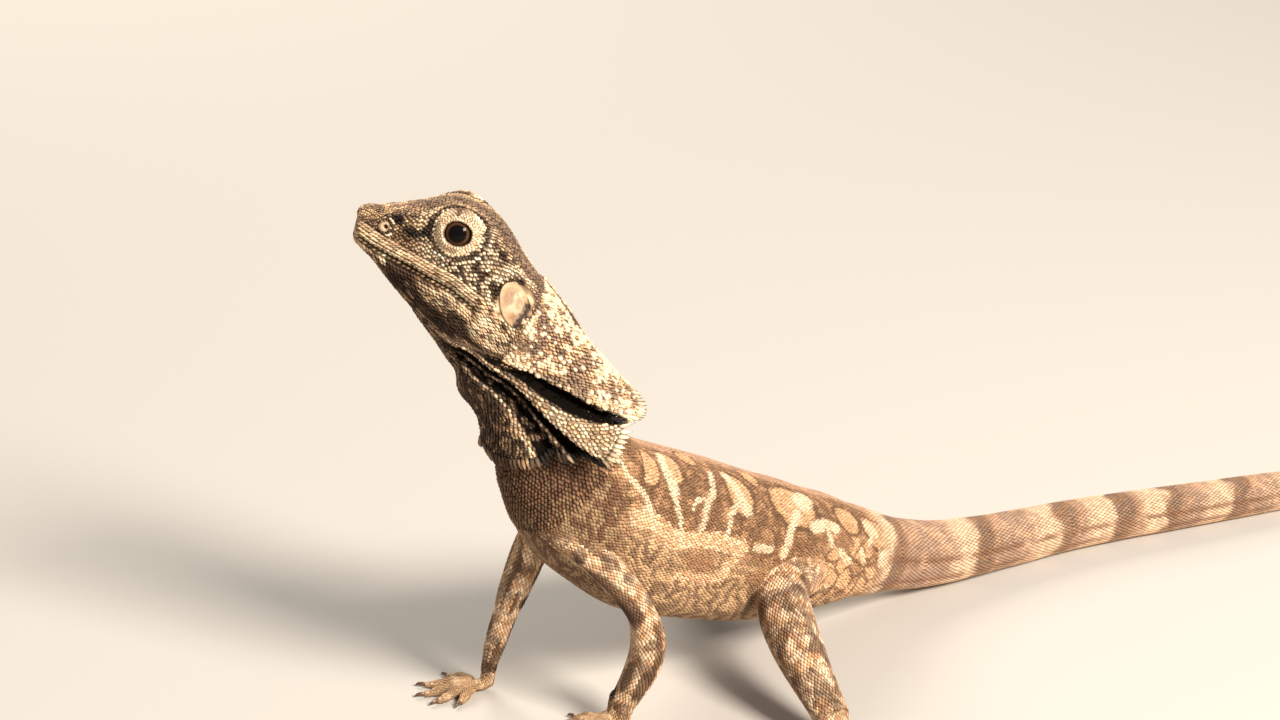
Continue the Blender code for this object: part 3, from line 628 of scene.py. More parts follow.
THROAT_FOLDS = (0.1, 9.0)  # height of the throat's long folds and degrees between them


def coat_depth(at: Array) -> Array:
    """Depth of the scales, less on the snout and towards the tail's tip."""
    thin = 1 - 0.62 * ease(150, 290, at)
    return COAT * thin * (0.55 + 0.45 * ease(0, 6, at))


def relief(at: Array, turn: Array) -> Array:
    """Height of folds, ridges and hollows of head and body over the plain section."""
    girth = girth_of(at)
    degrees = degrees_from_top(turn)
    total = sum(line.swell(Places(at, degrees, girth)) for line in RELIEF)
    fade = ease(1.5, 5, at) * (1 - ease(11, 16, at))
    height, spacing = THROAT_FOLDS
    folds = np.cos(np.radians(degrees * 360 / spacing)) * ease(142, 152, degrees)
    total += height * folds * fade
    flat = np.stack([at.ravel(), np.sin(turn.ravel()) * 9, np.cos(turn.ravel()) * 9], 1)
    lumps = noise(flat, UNEVEN_SIZE, 5).reshape(at.shape) - 0.5
    calm = ease(8, 30, at) * (1 - ease(110, 150, at))
    return total + UNEVEN * 2 * lumps * (0.3 + 0.7 * calm)


def body_skin(at: Array, turn: Array) -> Array:
    """The skin's surface on head, neck, trunk and tail."""
    at, turn = np.broadcast_arrays(at, turn)
    return LINE.points(at, turn, relief(at, turn) - coat_depth(at))


# ---- meshes


@dataclass
class Shell:
    """A closed surface in millimetres with a colour at each point."""

    points: Array
    faces: list[Array]
    paint: Array

    def shaded(self, light: float) -> Shell:
        """The same surface with its colours made darker, as painted shade."""
        return Shell(self.points, self.faces, self.paint * light)

    def mesh(self, name: str) -> Mesh:
        """A mesh of it with its colours."""
        made = mesh_of(name, self.points, self.faces)
        give_values(made, "paint", self.paint)
        return made

    @staticmethod
    def joined(shells: Sequence[Shell]) -> Shell:
        """All of these as one, still separate surfaces."""
        faces: list[Array] = []
        offset = 0
        for shell in shells:
            faces += [f + offset for f in shell.faces]
            offset += len(shell.points)
        points = np.concatenate([s.points for s in shells])
        return Shell(points, faces, np.concatenate([s.paint for s in shells]))


def signed_volume(points: Array, faces: Sequence[Array]) -> float:
    """Volume in the faces, a sixth of the sum of a . (b x c), negative if inside out."""
    total = 0.0
    for group in faces:
        first = points[group[:, 0]]
        for k in range(1, group.shape[1] - 1):
            cross = np.cross(points[group[:, k]], points[group[:, k + 1]])
            total += float((first * cross).sum()) / 6
    return total


def closed_tube(grid: Array, paint: Array | float = 0.0) -> Shell:
    """A closed surface of rings of points, with a pole in the middle of each end.

    Args:
        grid: points, shape (rings, points round, 3).
        paint: colour of each.

    Returns:
        The surface, facing outwards.
    """
    paint = np.reshape(paint, grid.shape) if np.ndim(paint) else np.full(grid.shape, paint)
    rings, around = grid.shape[:2]
    index = np.arange(rings * around).reshape(rings, around)
    wrapped = np.concatenate([index, index[:, :1]], axis=1)
    quads = np.stack(
        [wrapped[:-1, :-1], wrapped[:-1, 1:], wrapped[1:, 1:], wrapped[1:, :-1]], axis=-1
    ).reshape(-1, 4)
    first, last = rings * around, rings * around + 1
    cap = np.stack([wrapped[0, 1:], wrapped[0, :-1], np.full(around, first)], axis=1)
    end = np.stack([wrapped[-1, :-1], wrapped[-1, 1:], np.full(around, last)], axis=1)
    ends = grid[[0, -1]].mean(axis=1)
    points = np.concatenate([grid.reshape(-1, 3), ends])
    inks = np.concatenate([paint.reshape(-1, 3), paint[[0, -1]].mean(axis=1)])
    faces = [quads, np.concatenate([cap, end])]
    if signed_volume(points - points[0], faces) < 0:
        faces = [group[:, ::-1] for group in faces]
    return Shell(points, faces, inks)


def painted_tube(surface: Surface, rows: Array, around: int, paint: Callable) -> Shell:
    """A closed surface of a function's points at these rows, with its colours."""
    at, turn = np.broadcast_arrays(rows[:, None], full_turn(around))
    grid = surface(at, turn)
    return closed_tube(grid, paint(at.ravel(), turn.ravel(), grid.reshape(-1, 3)))


def closed_slab(outer: Array, inner: Array, paint: Array) -> Shell:
    """A closed slab between two grids of points of the same shape."""
    rows, columns = outer.shape[:2]
    index = np.arange(rows * columns).reshape(rows, columns)
    low = index + rows * columns

    def quads(a: Array, b: Array) -> Array:
        """Quads between two lines of points."""
        return np.stack([a[:-1], a[1:], b[1:], b[:-1]], axis=-1).reshape(-1, 4)

    faces = [
        quads(index[:-1].T, index[1:].T), quads(low[:-1].T, low[1:].T)[:, ::-1],
        quads(low[0], index[0]), quads(index[-1], low[-1]), quads(index[:, 0], low[:, 0]),
        quads(low[:, -1], index[:, -1]),
    ]
    points = np.concatenate([outer.reshape(-1, 3), inner.reshape(-1, 3)])
    if signed_volume(points - points[0], faces) < 0:
        faces = [group[:, ::-1] for group in faces]
    return Shell(points, faces, np.concatenate([paint.reshape(-1, 3)] * 2))


def mesh_of(name: str, points: Array, faces: Sequence[Array]) -> Mesh:
    """A mesh of points in millimetres and groups of faces, each with one corner count."""
    mesh = bpy.data.meshes.new(name)
    mesh.vertices.add(len(points))
    mesh.vertices.foreach_set("co", (points * MM).astype(np.float32).ravel())
    if faces:
        counts = np.concatenate([np.full(len(g), g.shape[1]) for g in faces])
        corners = np.concatenate([g.ravel() for g in faces]).astype(np.int32)
        starts = np.concatenate([[0], np.cumsum(counts)[:-1]]).astype(np.int32)
        mesh.loops.add(len(corners))
        mesh.loops.foreach_set("vertex_index", corners)
        mesh.polygons.add(len(counts))
        mesh.polygons.foreach_set("loop_start", starts)
    mesh.update(calc_edges=True)
    mesh.validate()
    mesh.shade_smooth()
    return mesh


def give_values(mesh: Mesh, name: str, values: Array) -> None:
    """Stores a colour or a number at each of a mesh's points."""
    if values.ndim == 2:
        colour = mesh.color_attributes.new(name, "FLOAT_COLOR", "POINT")
        full = np.concatenate([values, np.ones((len(values), 1))], axis=1)
        colour.data.foreach_set("color", full.astype(np.float32).ravel())
    else:
        number = mesh.attributes.new(name, "FLOAT", "POINT")
        number.data.foreach_set("value", values.astype(np.float32))


def points_of(mesh: Mesh) -> Array:
    """A mesh's points in millimetres, shape (n, 3)."""
    flat = np.empty(len(mesh.vertices) * 3, np.float32)
    mesh.vertices.foreach_get("co", flat)
    return flat.reshape(-1, 3).astype(float) / MM


def link(name: str, data: bpy.types.ID) -> Item:
    """An object of this mesh, light or camera in the scene, at the origin."""
    made = bpy.data.objects.new(name, data)
    bpy.context.scene.collection.objects.link(made)
    return made


def piece_of(name: str, mesh: Mesh, material: Material) -> Item:
    """A finished piece of the animal, riding on its one body."""
    mesh.materials.append(material)
    made = link(name, mesh)
    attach(made, ROOT)
    log.info("%s: %d faces", name, len(mesh.polygons))
    return made


def discard(item: Item) -> None:
    """Removes a helper object and its mesh."""
    mesh = item.data
    bpy.data.objects.remove(item)
    bpy.data.meshes.remove(mesh)


def shaped(item: Item) -> Mesh:
    """A new mesh of the object with its modifiers applied; the helper goes."""
    graph = bpy.context.evaluated_depsgraph_get()
    mesh = bpy.data.meshes.new_from_object(item.evaluated_get(graph))
    discard(item)
    return mesh


PROBED = {"place": "InputPosition", "normal": "InputNormal"}


def nearest_on(points: Array, target: Item, fields: Sequence[str]) -> dict[str, Array]:
    """Values of a mesh at the places nearest to these points.

    Args:
        points: places in millimetres, shape (n, 3).
        target: the object whose surface is asked.
        fields: "place" and "normal", or a colour attribute's name.

    Returns:
        An array of shape (n, 3) for each field.
    """
    probe = link("probe", mesh_of("probe", points, []))
    tree = bpy.data.node_groups.new("probe", "GeometryNodeTree")
    for way in ("INPUT", "OUTPUT"):
        tree.interface.new_socket("Geometry", in_out=way, socket_type="NodeSocketGeometry")
    graph = Graph(tree, "GeometryNode")
    flow = Wire(graph, tree.nodes.new("NodeGroupInput").outputs[0])
    source = graph.wire("ObjectInfo", "Geometry", Object=target)
    vector = {"data_type": "FLOAT_VECTOR"}
    for name in fields:
        if name in PROBED:
            value = graph.wire(PROBED[name], 0)
        else:
            value = graph.wire("InputNamedAttribute", "Attribute", vector, Name=name)
        value = graph.wire("SampleNearestSurface", "Value", vector, Mesh=source, Value=value)
        flow = graph.wire(
            "StoreNamedAttribute", "Geometry", vector, Geometry=flow, Name=f"found {name}", Value=value
        )
    tree.links.new(flow.socket, tree.nodes.new("NodeGroupOutput").inputs[0])
    probe.modifiers.new("probe", "NODES").node_group = tree
    mesh = shaped(probe)
    found = {}
    for name in fields:
        flat = np.empty(len(points) * 3, np.float32)
        mesh.attributes[f"found {name}"].data.foreach_get("vector", flat)
        scale = MM if name == "place" else 1.0
        found[name] = flat.reshape(-1, 3).astype(float) / scale
    bpy.data.meshes.remove(mesh)
    bpy.data.node_groups.remove(tree)
    return found


# ---- markings


def ink(red: float, green: float, blue: float) -> Array:
    """A colour as reflected light, 0 to 1."""
    return np.array([red, green, blue])


CREAM = ink(0.74, 0.475, 0.26)
PALE = ink(0.86, 0.64, 0.42)
SAND = ink(0.55, 0.345, 0.18)
TAN = ink(0.38, 0.225, 0.125)
TAUPE = ink(0.225, 0.144, 0.097)
BROWN = ink(0.135, 0.07, 0.035)
UMBER = ink(0.05, 0.026, 0.014)
BLACK = ink(0.009, 0.006, 0.004)
RUST = ink(0.2, 0.095, 0.05)
PINK = ink(0.56, 0.33, 0.205)
CLAY = ink(0.7, 0.385, 0.195)
EARTH = ink(0.36, 0.19, 0.095)


def lay(under: Array, *layers: Array) -> Array:
    """Colours with inks laid over them, each followed by its amount, 0 to 1."""
    for over, amount in zip(layers[::2], layers[1::2]):
        under = under + (over - under) * np.asarray(amount)[:, None]
    return under


@dataclass(frozen=True)
class Blot:
    """An oval marking: its place, half length along the body and half width round it.

    Tilt turns it, in degrees, so that its length leans down towards the rear.
    """

    at: float
    turn: float
    long: float
    wide: float
    tilt: float = 0.0

    def reach(self, here: Places) -> Array:
        """1 on its edge and less inside: sqrt((x / long)^2 + (y / wide)^2)."""
        along, down = here.at - self.at, (here.turn - self.turn) * here.girth
        lean = math.radians(self.tilt)
        x = along * math.cos(lean) + down * math.sin(lean)
        y = down * math.cos(lean) - along * math.sin(lean)
        return np.hypot(x / self.long, y / self.wide)


def nearest_reach(blots: Sequence[Blot], here: Places) -> Array:
    """The least reach to any of the blots."""
    return np.min([blot.reach(here) for blot in blots], axis=0, initial=9.0)


# Pale balloons of the back and flank, their bright cores, stems and beads.
BALLOONS = rows_of(
    Blot,
    (51, 60, 2.2, 3.3, 12),
    (56.3, 47, 2.3, 3.8, 6),
    (69.5, 55, 2.5, 3.4, 5),
    (81.4, 49, 4.9, 3.6, -12),
    (93.6, 50, 2.5, 2.2),
    (100.4, 54, 3.2, 2.2, 10),
    (44.6, 42, 2, 2.8, 20),
    (61.6, 24, 1.4, 2.2),
    (74.4, 26, 1.5, 2.4),
)
BRIGHT = rows_of(
    Trace,
    (((55.5, 34), (54.9, 48), (55.2, 61), (56.1, 71)), 0.95),
    (((56.1, 71), (56.6, 78), (57.8, 88), (59.5, 101)), 0.42),
    (((64.6, 42), (64, 55), (63.2, 66), (62.2, 77), (62.2, 92)), 0.5),
    (((59.7, 80), (60.6, 72), (62.6, 70)), 0.3),
    (((68.2, 40), (68.8, 50), (69.4, 62), (70.2, 68)), 1.1),
    (((68, 66), (66.8, 76), (67, 94)), 0.5),
    (((85.2, 36), (83.4, 46)), 1.5),
    (((81.6, 58), (79.6, 75), (79.2, 94)), 0.65),
    (((84.6, 67), (87.4, 61), (89.8, 63)), 0.8),
    (((87.6, 66), (88.2, 77)), 0.55),
    (((98.8, 50), (100.6, 54)), 1),
    (((99.4, 60), (98.6, 68)), 0.6),
    (((90.5, 82), (93.5, 90)), 0.55),
    (((96.2, 78), (97.4, 88)), 0.5),
    (((72.8, 94), (76.4, 92)), 0.6),
    (((102.6, 84), (105, 82)), 1.2),
    (((43.6, 76), (46.5, 83), (50.2, 84), (52.2, 89), (53.6, 96)), 0.4),
)
FLANK_PALE = Trace(((51.3, 100), (54.2, 98), (59, 106), (62.6, 101), (66, 97), (70.4, 98)))
FLANK_TURN = Trace(((70.2, 100), (69.6, 110), (68.8, 121), (66.2, 127), (61.8, 128)))
FLANK_DARK = (Blot(64, 116, 3, 1.2), Blot(76, 116, 2.8, 1.2), Blot(91.5, 74, 2.2, 2))
CELLS = (Blot(46, 104, 6.2, 4.6, 12), Blot(93, 100, 10, 5.4), Blot(102.5, 66, 2.6, 5))
FAR_SHIFT = 3.2  # how far back the right side's markings lie from the left's
TAIL_BANDS = (93.0, 107.5, 125.6, 141.2, 151.2, 160.5, 172.2, 185.5, 198.0, 211.0, 224.5, 239.0)
TAIL_PERIOD = 14.0  # from there to the tip

# Markings of the head.
EYE_STREAK = Trace(((4.9, 40), (5.8, 54), (7.1, 61), (8.9, 55), (9.3, 46)), 0.5)
BEHIND_EYE = (
    Trace(((15, 69), (15.7, 75), (16.7, 83)), 0.85),
    Trace(((18.2, 82), (18.8, 87)), 0.6),
    Trace(((17.4, 46), (18.4, 50)), 0.5),
)
DRUM_ARC = Trace(((19.2, 82), (19.4, 74), (20.1, 65), (21.5, 53)), 0.3)
DRUM_RIDGE = Trace(((18.7, 76), (19.1, 62), (20.6, 47), (22.8, 42)), 0.5)
BROW = Trace(((9, 38), (11, 22), (13.5, 18), (15.4, 27), (17, 38)), 1.1)
JAW_PALE = (
    Trace(((10.6, 128), (12.5, 123), (14.5, 119), (16.9, 116), (19.2, 113), (21.6, 112)), 1),
    Trace(((17.8, 128), (21.1, 121), (24.1, 113), (26.1, 100)), 1.25),
    Trace(((2.4, 132), (4.4, 128)), 0.7),
)
JAW_DARK = (
    Trace(((5.6, 132), (7.6, 126), (8.9, 122)), 0.75),
    Trace(((9.8, 133), (11.5, 140), (13.2, 146)), 0.85),
    Trace(((14.6, 132), (17.7, 136), (20.5, 136)), 1),
    Trace(((22.4, 130), (24.2, 124)), 0.8),
)
LIP_BAND = Trace(((0.8, 110), (4, 108), (8, 103), (12, 102), (16, 105)), 1.1)
CHEEK = (Blot(13.4, 88, 2.4, 1.3, 10), Blot(16.2, 97, 2, 1.3, 30), Blot(16.4, 57, 1.6, 1.4))
LID_RING = (3.45, 3.02)  # half length and half height of the crease round the lids


def paint_head(here: Places) -> Array:
    """Colours of the head, shape (n, 3)."""
    at, turn, girth, spot = here
    fine, coarse = noise(spot, 0.7, 11), noise(spot, 2.2, 12)
    net = cell_edge(spot, 0.95, 13)
    dots = 1 - ramp(noise(spot, 0.55, 14), 0.3, 0.42)
    side = ease(48, 70, turn) * ease(5.5, 9.5, at)
    rings = paint_rings(spot)
    cheek = 1 - ramp(nearest_reach(CHEEK, here), 0.8, 1.15)
    snout = ease(50, 66, turn) * (1 - ease(7.5, 10.5, at)) * ease(1, 3, at)
    lip = LIP_BAND.swell(here)
    colour = lay(
        TAUPE,
        TAN, ramp(fine, 0.4, 0.5),
        SAND, ramp(coarse, 0.4, 0.6) * ramp(fine, 0.42, 0.52),
        CREAM, ramp(fine, 0.56, 0.64) * 0.75,
        UMBER, dots * 0.5,
        TAUPE * 0.7, (1 - ease(24, 46, turn)) * ease(5, 10, at) * 0.8,
        SAND, side * 0.75,
        PALE, side * ramp(fine, 0.36, 0.5) * 0.9,
        UMBER, side * dots * 0.9,
        PALE, rings[2] * (0.6 + 0.3 * fine),
        CREAM, BROW.swell(here) * (0.35 + 0.5 * fine),
        PALE, cheek * 0.85,
        UMBER, cheek * np.maximum(dots, 1 - ramp(net, 0.04, 0.12)),
        BROWN, snout * (0.4 + 0.4 * (fine > 0.52)),
        CREAM, lip * (0.45 + 0.55 * ramp(fine, 0.3, 0.55)),
        BROWN, lip * dots * 0.8,
        PALE, DRUM_RIDGE.swell(here) * 0.9,
    )
    for line, ink_over, reach in (
        (EYE_STREAK, BLACK, 0.95),
        *((line, UMBER, line.width * 1.7) for line in BEHIND_EYE),
        (DRUM_ARC, BLACK, 0.45),
    ):
        gap = line.gap(here) + (fine - 0.5) * reach * 0.8
        colour = lay(colour, ink_over, (1 - ramp(gap, 0.3 * reach, 0.85 * reach)) * 0.95)
    below = turn - mouth_turn(at)
    jaw = np.where(at < MOUTH_CORNER, below > 0, turn > 99 + 6 * (coarse - 0.5))
    colour = lay(colour, PALE, rings[0], UMBER, rings[1])
    throat = ease(130, 142, turn) * ease(2, 6, at)
    streaks = (0.5 + 0.5 * np.cos(np.radians(turn * 360 / THROAT_FOLDS[1]))) ** 4
    under = lay(
        BROWN,
        TAN, ramp(fine, 0.4, 0.5),
        CREAM, ramp(fine, 0.44, 0.52) * 0.9,
        UMBER, traced(JAW_DARK, here) * 0.92,
        lay(SAND, PALE, fine), traced(JAW_PALE, here) * 0.95,
        UMBER, dots * 0.8,
        UMBER, throat * (1 - 0.8 * streaks * ramp(coarse, 0.4, 0.6)) * 0.95,
    )
    colour = np.where(jaw[:, None], under, colour)
    # A black line along the mouth: painted shade in the crease between the jaws.
    mouth_crease_shade = 1 - ramp(np.abs(below) * girth, 0.08, 0.2)
    return lay(colour, BLACK, (at < MOUTH_CORNER - 1) * mouth_crease_shade * ease(0.7, 1.5, at))


def paint_rings(spot: Array) -> tuple[Array, Array, Array]:
    """How far places lie in pale and dark rings of nostrils and eyes, and round the lids; the dark line
    round the lids is painted shade of their crease.
    """
    pale, dark, wide = np.zeros((3, len(spot)))
    for side, _ in SIDES:
        off = spot - NOSTRIL.place(side)
        hole = norm(off, axis=1)
        _, ahead, _ = NOSTRIL.axes(side)
        behind = ramp(-(off @ ahead), 0.1, 0.6)
        pale = np.maximum(pale, 0.5 - 0.5 * ramp(hole, 0.7, 0.8))
        pale = np.maximum(pale, behind * (1 - ramp(np.abs(hole - 1.12), 0.1, 0.2)))
        dark = np.maximum(dark, 1 - ramp(np.abs(hole - 0.85), 0.08, 0.18))
        out, ahead, up = EYE.axes(side, EYE_TILT)
        off = spot - EYE.place(side)
        oval = np.hypot((off @ ahead) / LID_RING[0], (off @ up) / LID_RING[1])
        outside = (off @ out) > -0.5
        # Painted shade of the crease round the lids.
        crease = 1 - ramp(np.abs(oval - 1.02), 0.06, 0.11)
        dark = np.maximum(dark, outside * crease * 0.9)
        wide = np.maximum(wide, outside * (1 - ramp(oval, 1.3, 1.75)))
        low = ramp(-(off @ up) - (off @ ahead) * 0.4, 0.0, 1.2) * outside
        pale = np.maximum(pale, low * (1 - ramp(np.abs(oval - 1.15), 0.06, 0.1)))
        low = low * (1 - ramp(np.abs(oval - 1.26), 0.03, 0.08))
        dark = np.maximum(dark, low * 0.6)
    return np.clip(pale, 0, 1), np.clip(dark, 0, 1), wide


def mouth_turn(at: Array) -> Array:
    """Degrees from the top at which the mouth's line runs."""
    return np.interp(at, *np.array(MOUTH_LINE).T)


def paint_neck(turn: Array, spot: Array) -> Array:
    """Colours of the neck: grey-brown with cream flecks above, dark in the shade below."""
    fine, coarse = noise(spot, 0.7, 21), noise(spot, 2.1, 23)
    return lay(
        TAUPE,
        TAN * 1.1, ramp(fine, 0.25, 0.45),
        CREAM * 0.9, ramp(fine, 0.52, 0.59) * 0.8,
        TAUPE * 0.8, (1 - ramp(coarse, 0.35, 0.45)) * 0.7,
        lay(RUST * 0.7, BROWN, fine), ease(86, 106, turn) * 0.92,
    )


def traced(lines: Sequence[Trace], here: Places) -> Array:
    """1 within the width of any of the lines and 0 away from them, soft between."""
    gap = np.min([line.gap(here) / line.width for line in lines], axis=0)
    return 1 - ramp(gap, 0.75, 1.2)


def paint_trunk(here: Places) -> Array:
    """Colours of the trunk: warm brown with pale balloons and beads, streaked below, with painted shade
    on the chest under the frill.
    """
    at, turn, girth, spot = here
    fine, coarse = noise(spot, 0.8, 31), noise(spot, 2.4, 32)
    net, beads = cell_edge(spot, 3.0, 34), cell_edge(spot, 1.15, 35)
    grain = ramp(fine, 0.35, 0.65)
    # Painted shade on the chest under the frill.
    chest_shade = (1 - ease(46, 52, at - (turn - 95) * 0.12)) * ease(84, 97, turn)
    # Paler below: partly the belly's own pale colour, partly painted light of the floor's bounce.
    low = ease(100, 116, turn)
    streaks = np.sin((at * 0.86 - turn * girth * 0.7) * TURN / 2.6 + (coarse - 0.5) * 14)
    streaks = ramp(streaks + (fine - 0.5) * 2.4, -0.5, 0.6)
    cells = 1 - ramp(nearest_reach(CELLS, here) + coarse * 0.4, 0.9, 1.3)
    gap = np.minimum(FLANK_PALE.gap(here), FLANK_TURN.gap(here) + 0.4)
    band = 1 - ramp(gap + (0.35 - beads) * 0.8, 1.05, 1.6)
    dark = nearest_reach(FLANK_DARK, here) + (fine - 0.5) * 0.5
    ball = nearest_reach(BALLOONS, here) + (fine - 0.5) * 0.24
    line = ramp(ball, 0.96, 1.04) * (1 - ramp(ball, 1.12, 1.3))
    bright = traced(BRIGHT, here)
    halo = 1 - ramp(np.abs(bright - 0.06), 0.0, 0.06)
    inside = 1 - ramp(ball, 0.88, 1.0)
    ring = 1 - ramp(np.abs(ball - 0.55 + (coarse - 0.5) * 0.4), 0.03, 0.12)
    lengths = ramp(noise(spot * (1, 1, 0.4), 0.5, 36), 0.42, 0.56)
    return lay(
        EARTH * 0.6,
        CLAY, ramp(fine, 0.5, 0.8) * 0.4,
        BROWN, (1 - ramp(np.abs(coarse - 0.5), 0.01, 0.05)) * 0.6,
        PINK, (1 - ease(12, 27, turn)) * (0.45 + 0.4 * fine),
        lay(SAND, CREAM, grain * 0.6), low * 0.85,
        TAN * 0.62, low * streaks * (0.7 + 0.4 * coarse),
        lay(CLAY * 0.9, CREAM, grain * 0.5), cells,
        EARTH, cells * ramp(coarse, 0.5, 0.6) * 0.8,
        BROWN, cells * (1 - ramp(net, 0.05, 0.17)) * 0.85,
        lay(CLAY * 0.9, PALE, ramp(beads, 0.1, 0.35) * 0.7), band,
        EARTH * 0.85, 1 - ramp(dark, 0.75, 1.2),
        BROWN, np.maximum(line * 0.85, halo * (ball > 1) * 0.5),
        lay(CLAY * 0.8, CREAM * 0.95, grain * 0.5), inside,
        TAN, ring * inside * 0.55,
        PALE * 0.9, bright * (0.75 + 0.25 * grain),
        lay(RUST * 0.7, SAND * 0.55, lengths), chest_shade * 0.95,
    )


def paint_tail(at: Array, turn: Array, spot: Array) -> Array:
    """Colours of the tail: blocks that brighten towards the narrow dark band behind."""
    fine, coarse = noise(spot, 0.7, 41), noise(spot, 2.2, 42)
    waver = at + (coarse - 0.5) * 2.2 - np.cos(np.radians(turn)) * 1.0
    late = np.arange(TAIL_BANDS[-1], LINE.length + 2 * TAIL_PERIOD, TAIL_PERIOD)
    middles = np.append(TAIL_BANDS[:-1], late)
    index = np.searchsorted(middles, waver)
    ahead, past = middles[index] - waver, waver - middles[index - 1]
    bright = ramp(ahead, 1.2, 2.2) * (1 - ramp(ahead, 5.0, 7.0))
    band = 1 - ramp(np.minimum(ahead, past), 1.1, 1.9)
    line = bell(turn - 84, 7) * 0.8 + bell(turn - 122, 8) * 0.7
    return lay(
        TAUPE * 1.8,
        PINK, ramp(fine, 0.35, 0.65),
        TAUPE * 1.4, ramp(coarse, 0.5, 0.64) * 0.7,
        CREAM + (0, 0.03, 0.06), bright * (0.5 + 0.5 * fine),
        EARTH, (1 - ramp(past, 1.8, 4.0)) * 0.4,
        lay(EARTH * 0.75, TAUPE * 0.8, ramp(fine, 0.3, 0.65)), band * 0.85,
        RUST, line * ramp(coarse, 0.2, 0.5),
        CREAM, ease(134, 152, turn) * 0.7,
    )


def paint_body(at: Array, turn: Array, spot: Array) -> Array:
    """Colours of head, neck, trunk and tail, each blended into the next.

    Args:
        at: distances from the snout, shape (n,).
        turn: angles from the top towards the left side, in radians.
        spot: the same places in space.

    Returns:
        Colours, shape (n, 3).
    """
    girth = girth_of(at)
    degrees = degrees_from_top(turn)
    shift = FAR_SHIFT * ease(45, 50, at) * (1 - ease(95, 101, at))
    placed = at - np.where(np.sin(turn) < 0, shift, 0.0)
    wander = (noise(spot, 1.6, 1) - 0.5) * 0.7
    placed = placed + wander * ease(20, 40, at)
    return lay(
        paint_head(Places(at, degrees, girth, spot)),
        paint_neck(degrees, spot), ease(23.5, 26, at),
        paint_trunk(Places(placed, degrees, girth, spot)), ease(41, 45, at),
        paint_tail(placed, degrees, spot), ease(101, 105.5, at),
    )


def paint_leg(leg: Leg, share: Array, turn: Array, spot: Array) -> Array:
    """Colours of a leg: cream with taupe bars and blotches, plainer underneath.

    Args:
        leg: whose leg it is.
        share: 0 at the hip or shoulder, 1 at the ankle, 2 at the toes' tips.
        turn: angles round it from the upper side, in radians.
        spot: the same places in space.

    Returns:
        Colours, shape (n, 3).
    """
    fine, coarse = noise(spot, 0.8, 51), noise(spot, 1.9, 52)
    round_it = np.stack([share * 6, 2.4 * np.cos(turn), 2.4 * np.sin(turn)], axis=1)
    streak, net = noise(round_it, 1.0, 53), cell_edge(spot, 2.1, 54)
    fore = leg.name.startswith("fore")
    bars = np.sin(share * (2.6 if fore else 3.6) * TURN + (coarse - 0.5) * 9)
    under = ramp(-np.cos(turn), 0.2, 0.8)
    return lay(
        CLAY * 0.85,
        PALE, ramp(fine, 0.3, 0.6) * 0.8,
        TAUPE * 1.6, ramp(bars, 0.45, 0.8) * (0.1 if fore else 0.5 + 0.4 * fine),
        BROWN * 1.3, (1 - ramp(net, 0.05, 0.15)) * (0.4 if fore else 0.7),
        BROWN, ramp(streak, 0.55, 0.62) * (0.9 if fore else 0.4),
        UMBER * 1.6, ramp(coarse, 0.58, 0.66) * 0.6 + under * 0.7 * coarse,
        SAND, ease(1, 1.25, share) * 0.5,
    )


FRILL_EDGES = ((2.1, 0.6), (3.97, 1.0), (5.06, 0.6), (7.0, 0.55), (9.0, 0.9))
FRILL_GAPS = ((2.2, 3.88), (5.16, 6.88), (7.12, 8.9))  # painted shadow in the stretches between leaves


def paint_frill(along: Array, across: Array, spot: Array) -> Array:
    """Colours of the folded frill, with painted shadow between its leaves and at their roots.

    Args:
        along: 0 at the root, 1 at the free edge.
        across: number of the pleat line, from the dorsal edge down.
        spot: the same places in space.

    Returns:
        Colours, shape (n, 3).
    """
    fine, net = noise(spot, 0.7, 61), cell_edge(spot, 1.3, 63)
    colour = paint_neck(np.zeros(len(along)), spot)
    # Painted shadow at the roots of the pleats below the dorsal edge.
    root = ease(2.4, 3.4, across) * (1 - ease(0.12, 0.3, along))
    leaf = ease(3.8, 3.95, across) * (1 - ease(5.05, 5.2, across))
    colour = lay(colour, UMBER * 1.4, root * 0.9)
    pale = lay(
        CREAM,
        PALE, ramp(fine, 0.3, 0.6),
        BROWN, (1 - ramp(net, 0.06, 0.15)) * 0.6,
        BROWN, (1 - ease(0.4, 0.62, along)) * 0.75,
    )
    low = ease(6.3, 6.9, across)
    colour = lay(colour, pale, leaf)
    near_edge = bell(across - 9.1, 0.35) * ease(0.6, 0.85, along)
    mottled = lay(UMBER, TAN, ramp(fine, 0.52, 0.66) * 0.7, CREAM, near_edge * ramp(fine, 0.3, 0.5))
    colour = lay(colour, mottled, low * 0.95)
    # Painted shadow, near black, in the gaps between the leaves.
    for start, end in FRILL_GAPS:
        inside = ease(start, start + 0.12, across)
        inside = inside * (1 - ease(end - 0.12, end, across))
        faint = ramp(fine, 0.62, 0.72) * (start > 6) * 0.5
        colour = lay(colour, BLACK, inside * ease(0.04, 0.2, along) * (1 - faint))
    for edge, light in FRILL_EDGES:
        near = bell(across - edge, 0.075) * ease(0.05, 0.3, along)
        colour = lay(colour, PALE, near * (0.6 + 0.4 * fine) * light)
    shown = np.maximum(leaf, across < 2.1)
    return lay(colour, PALE, ease(0.955, 0.99, along) * shown * 0.7)


# ---- scales


@dataclass(frozen=True)
class ScaleForm:
    """A scale's form, as shares of its width, length and height: rim, crest and bottom.

    Point draws the rear of the rim out, lift raises it, and the crest's two points say
    how long and how high the ridge is.
    """

    point: float
    lift: float
    crest_front: Pair
    crest_rear: Pair
    fullness: float = 1.0

    def points(self) -> Array:
        """Rim points (sin a / 2, -cos a / 2) from the front round, crests and the bottom."""
        angle = np.arange(8) * TURN / 8
        x = np.sin(angle) / 2 * self.fullness
        y = -np.cos(angle) / 2
        y[4] += self.point
        z = self.lift * (y + 0.5)
        rim = np.stack([x, y, z], axis=1)
        rest = [(0, *self.crest_front), (0, *self.crest_rear), (0, 0, -0.4)]
        return np.concatenate([rim, rest])


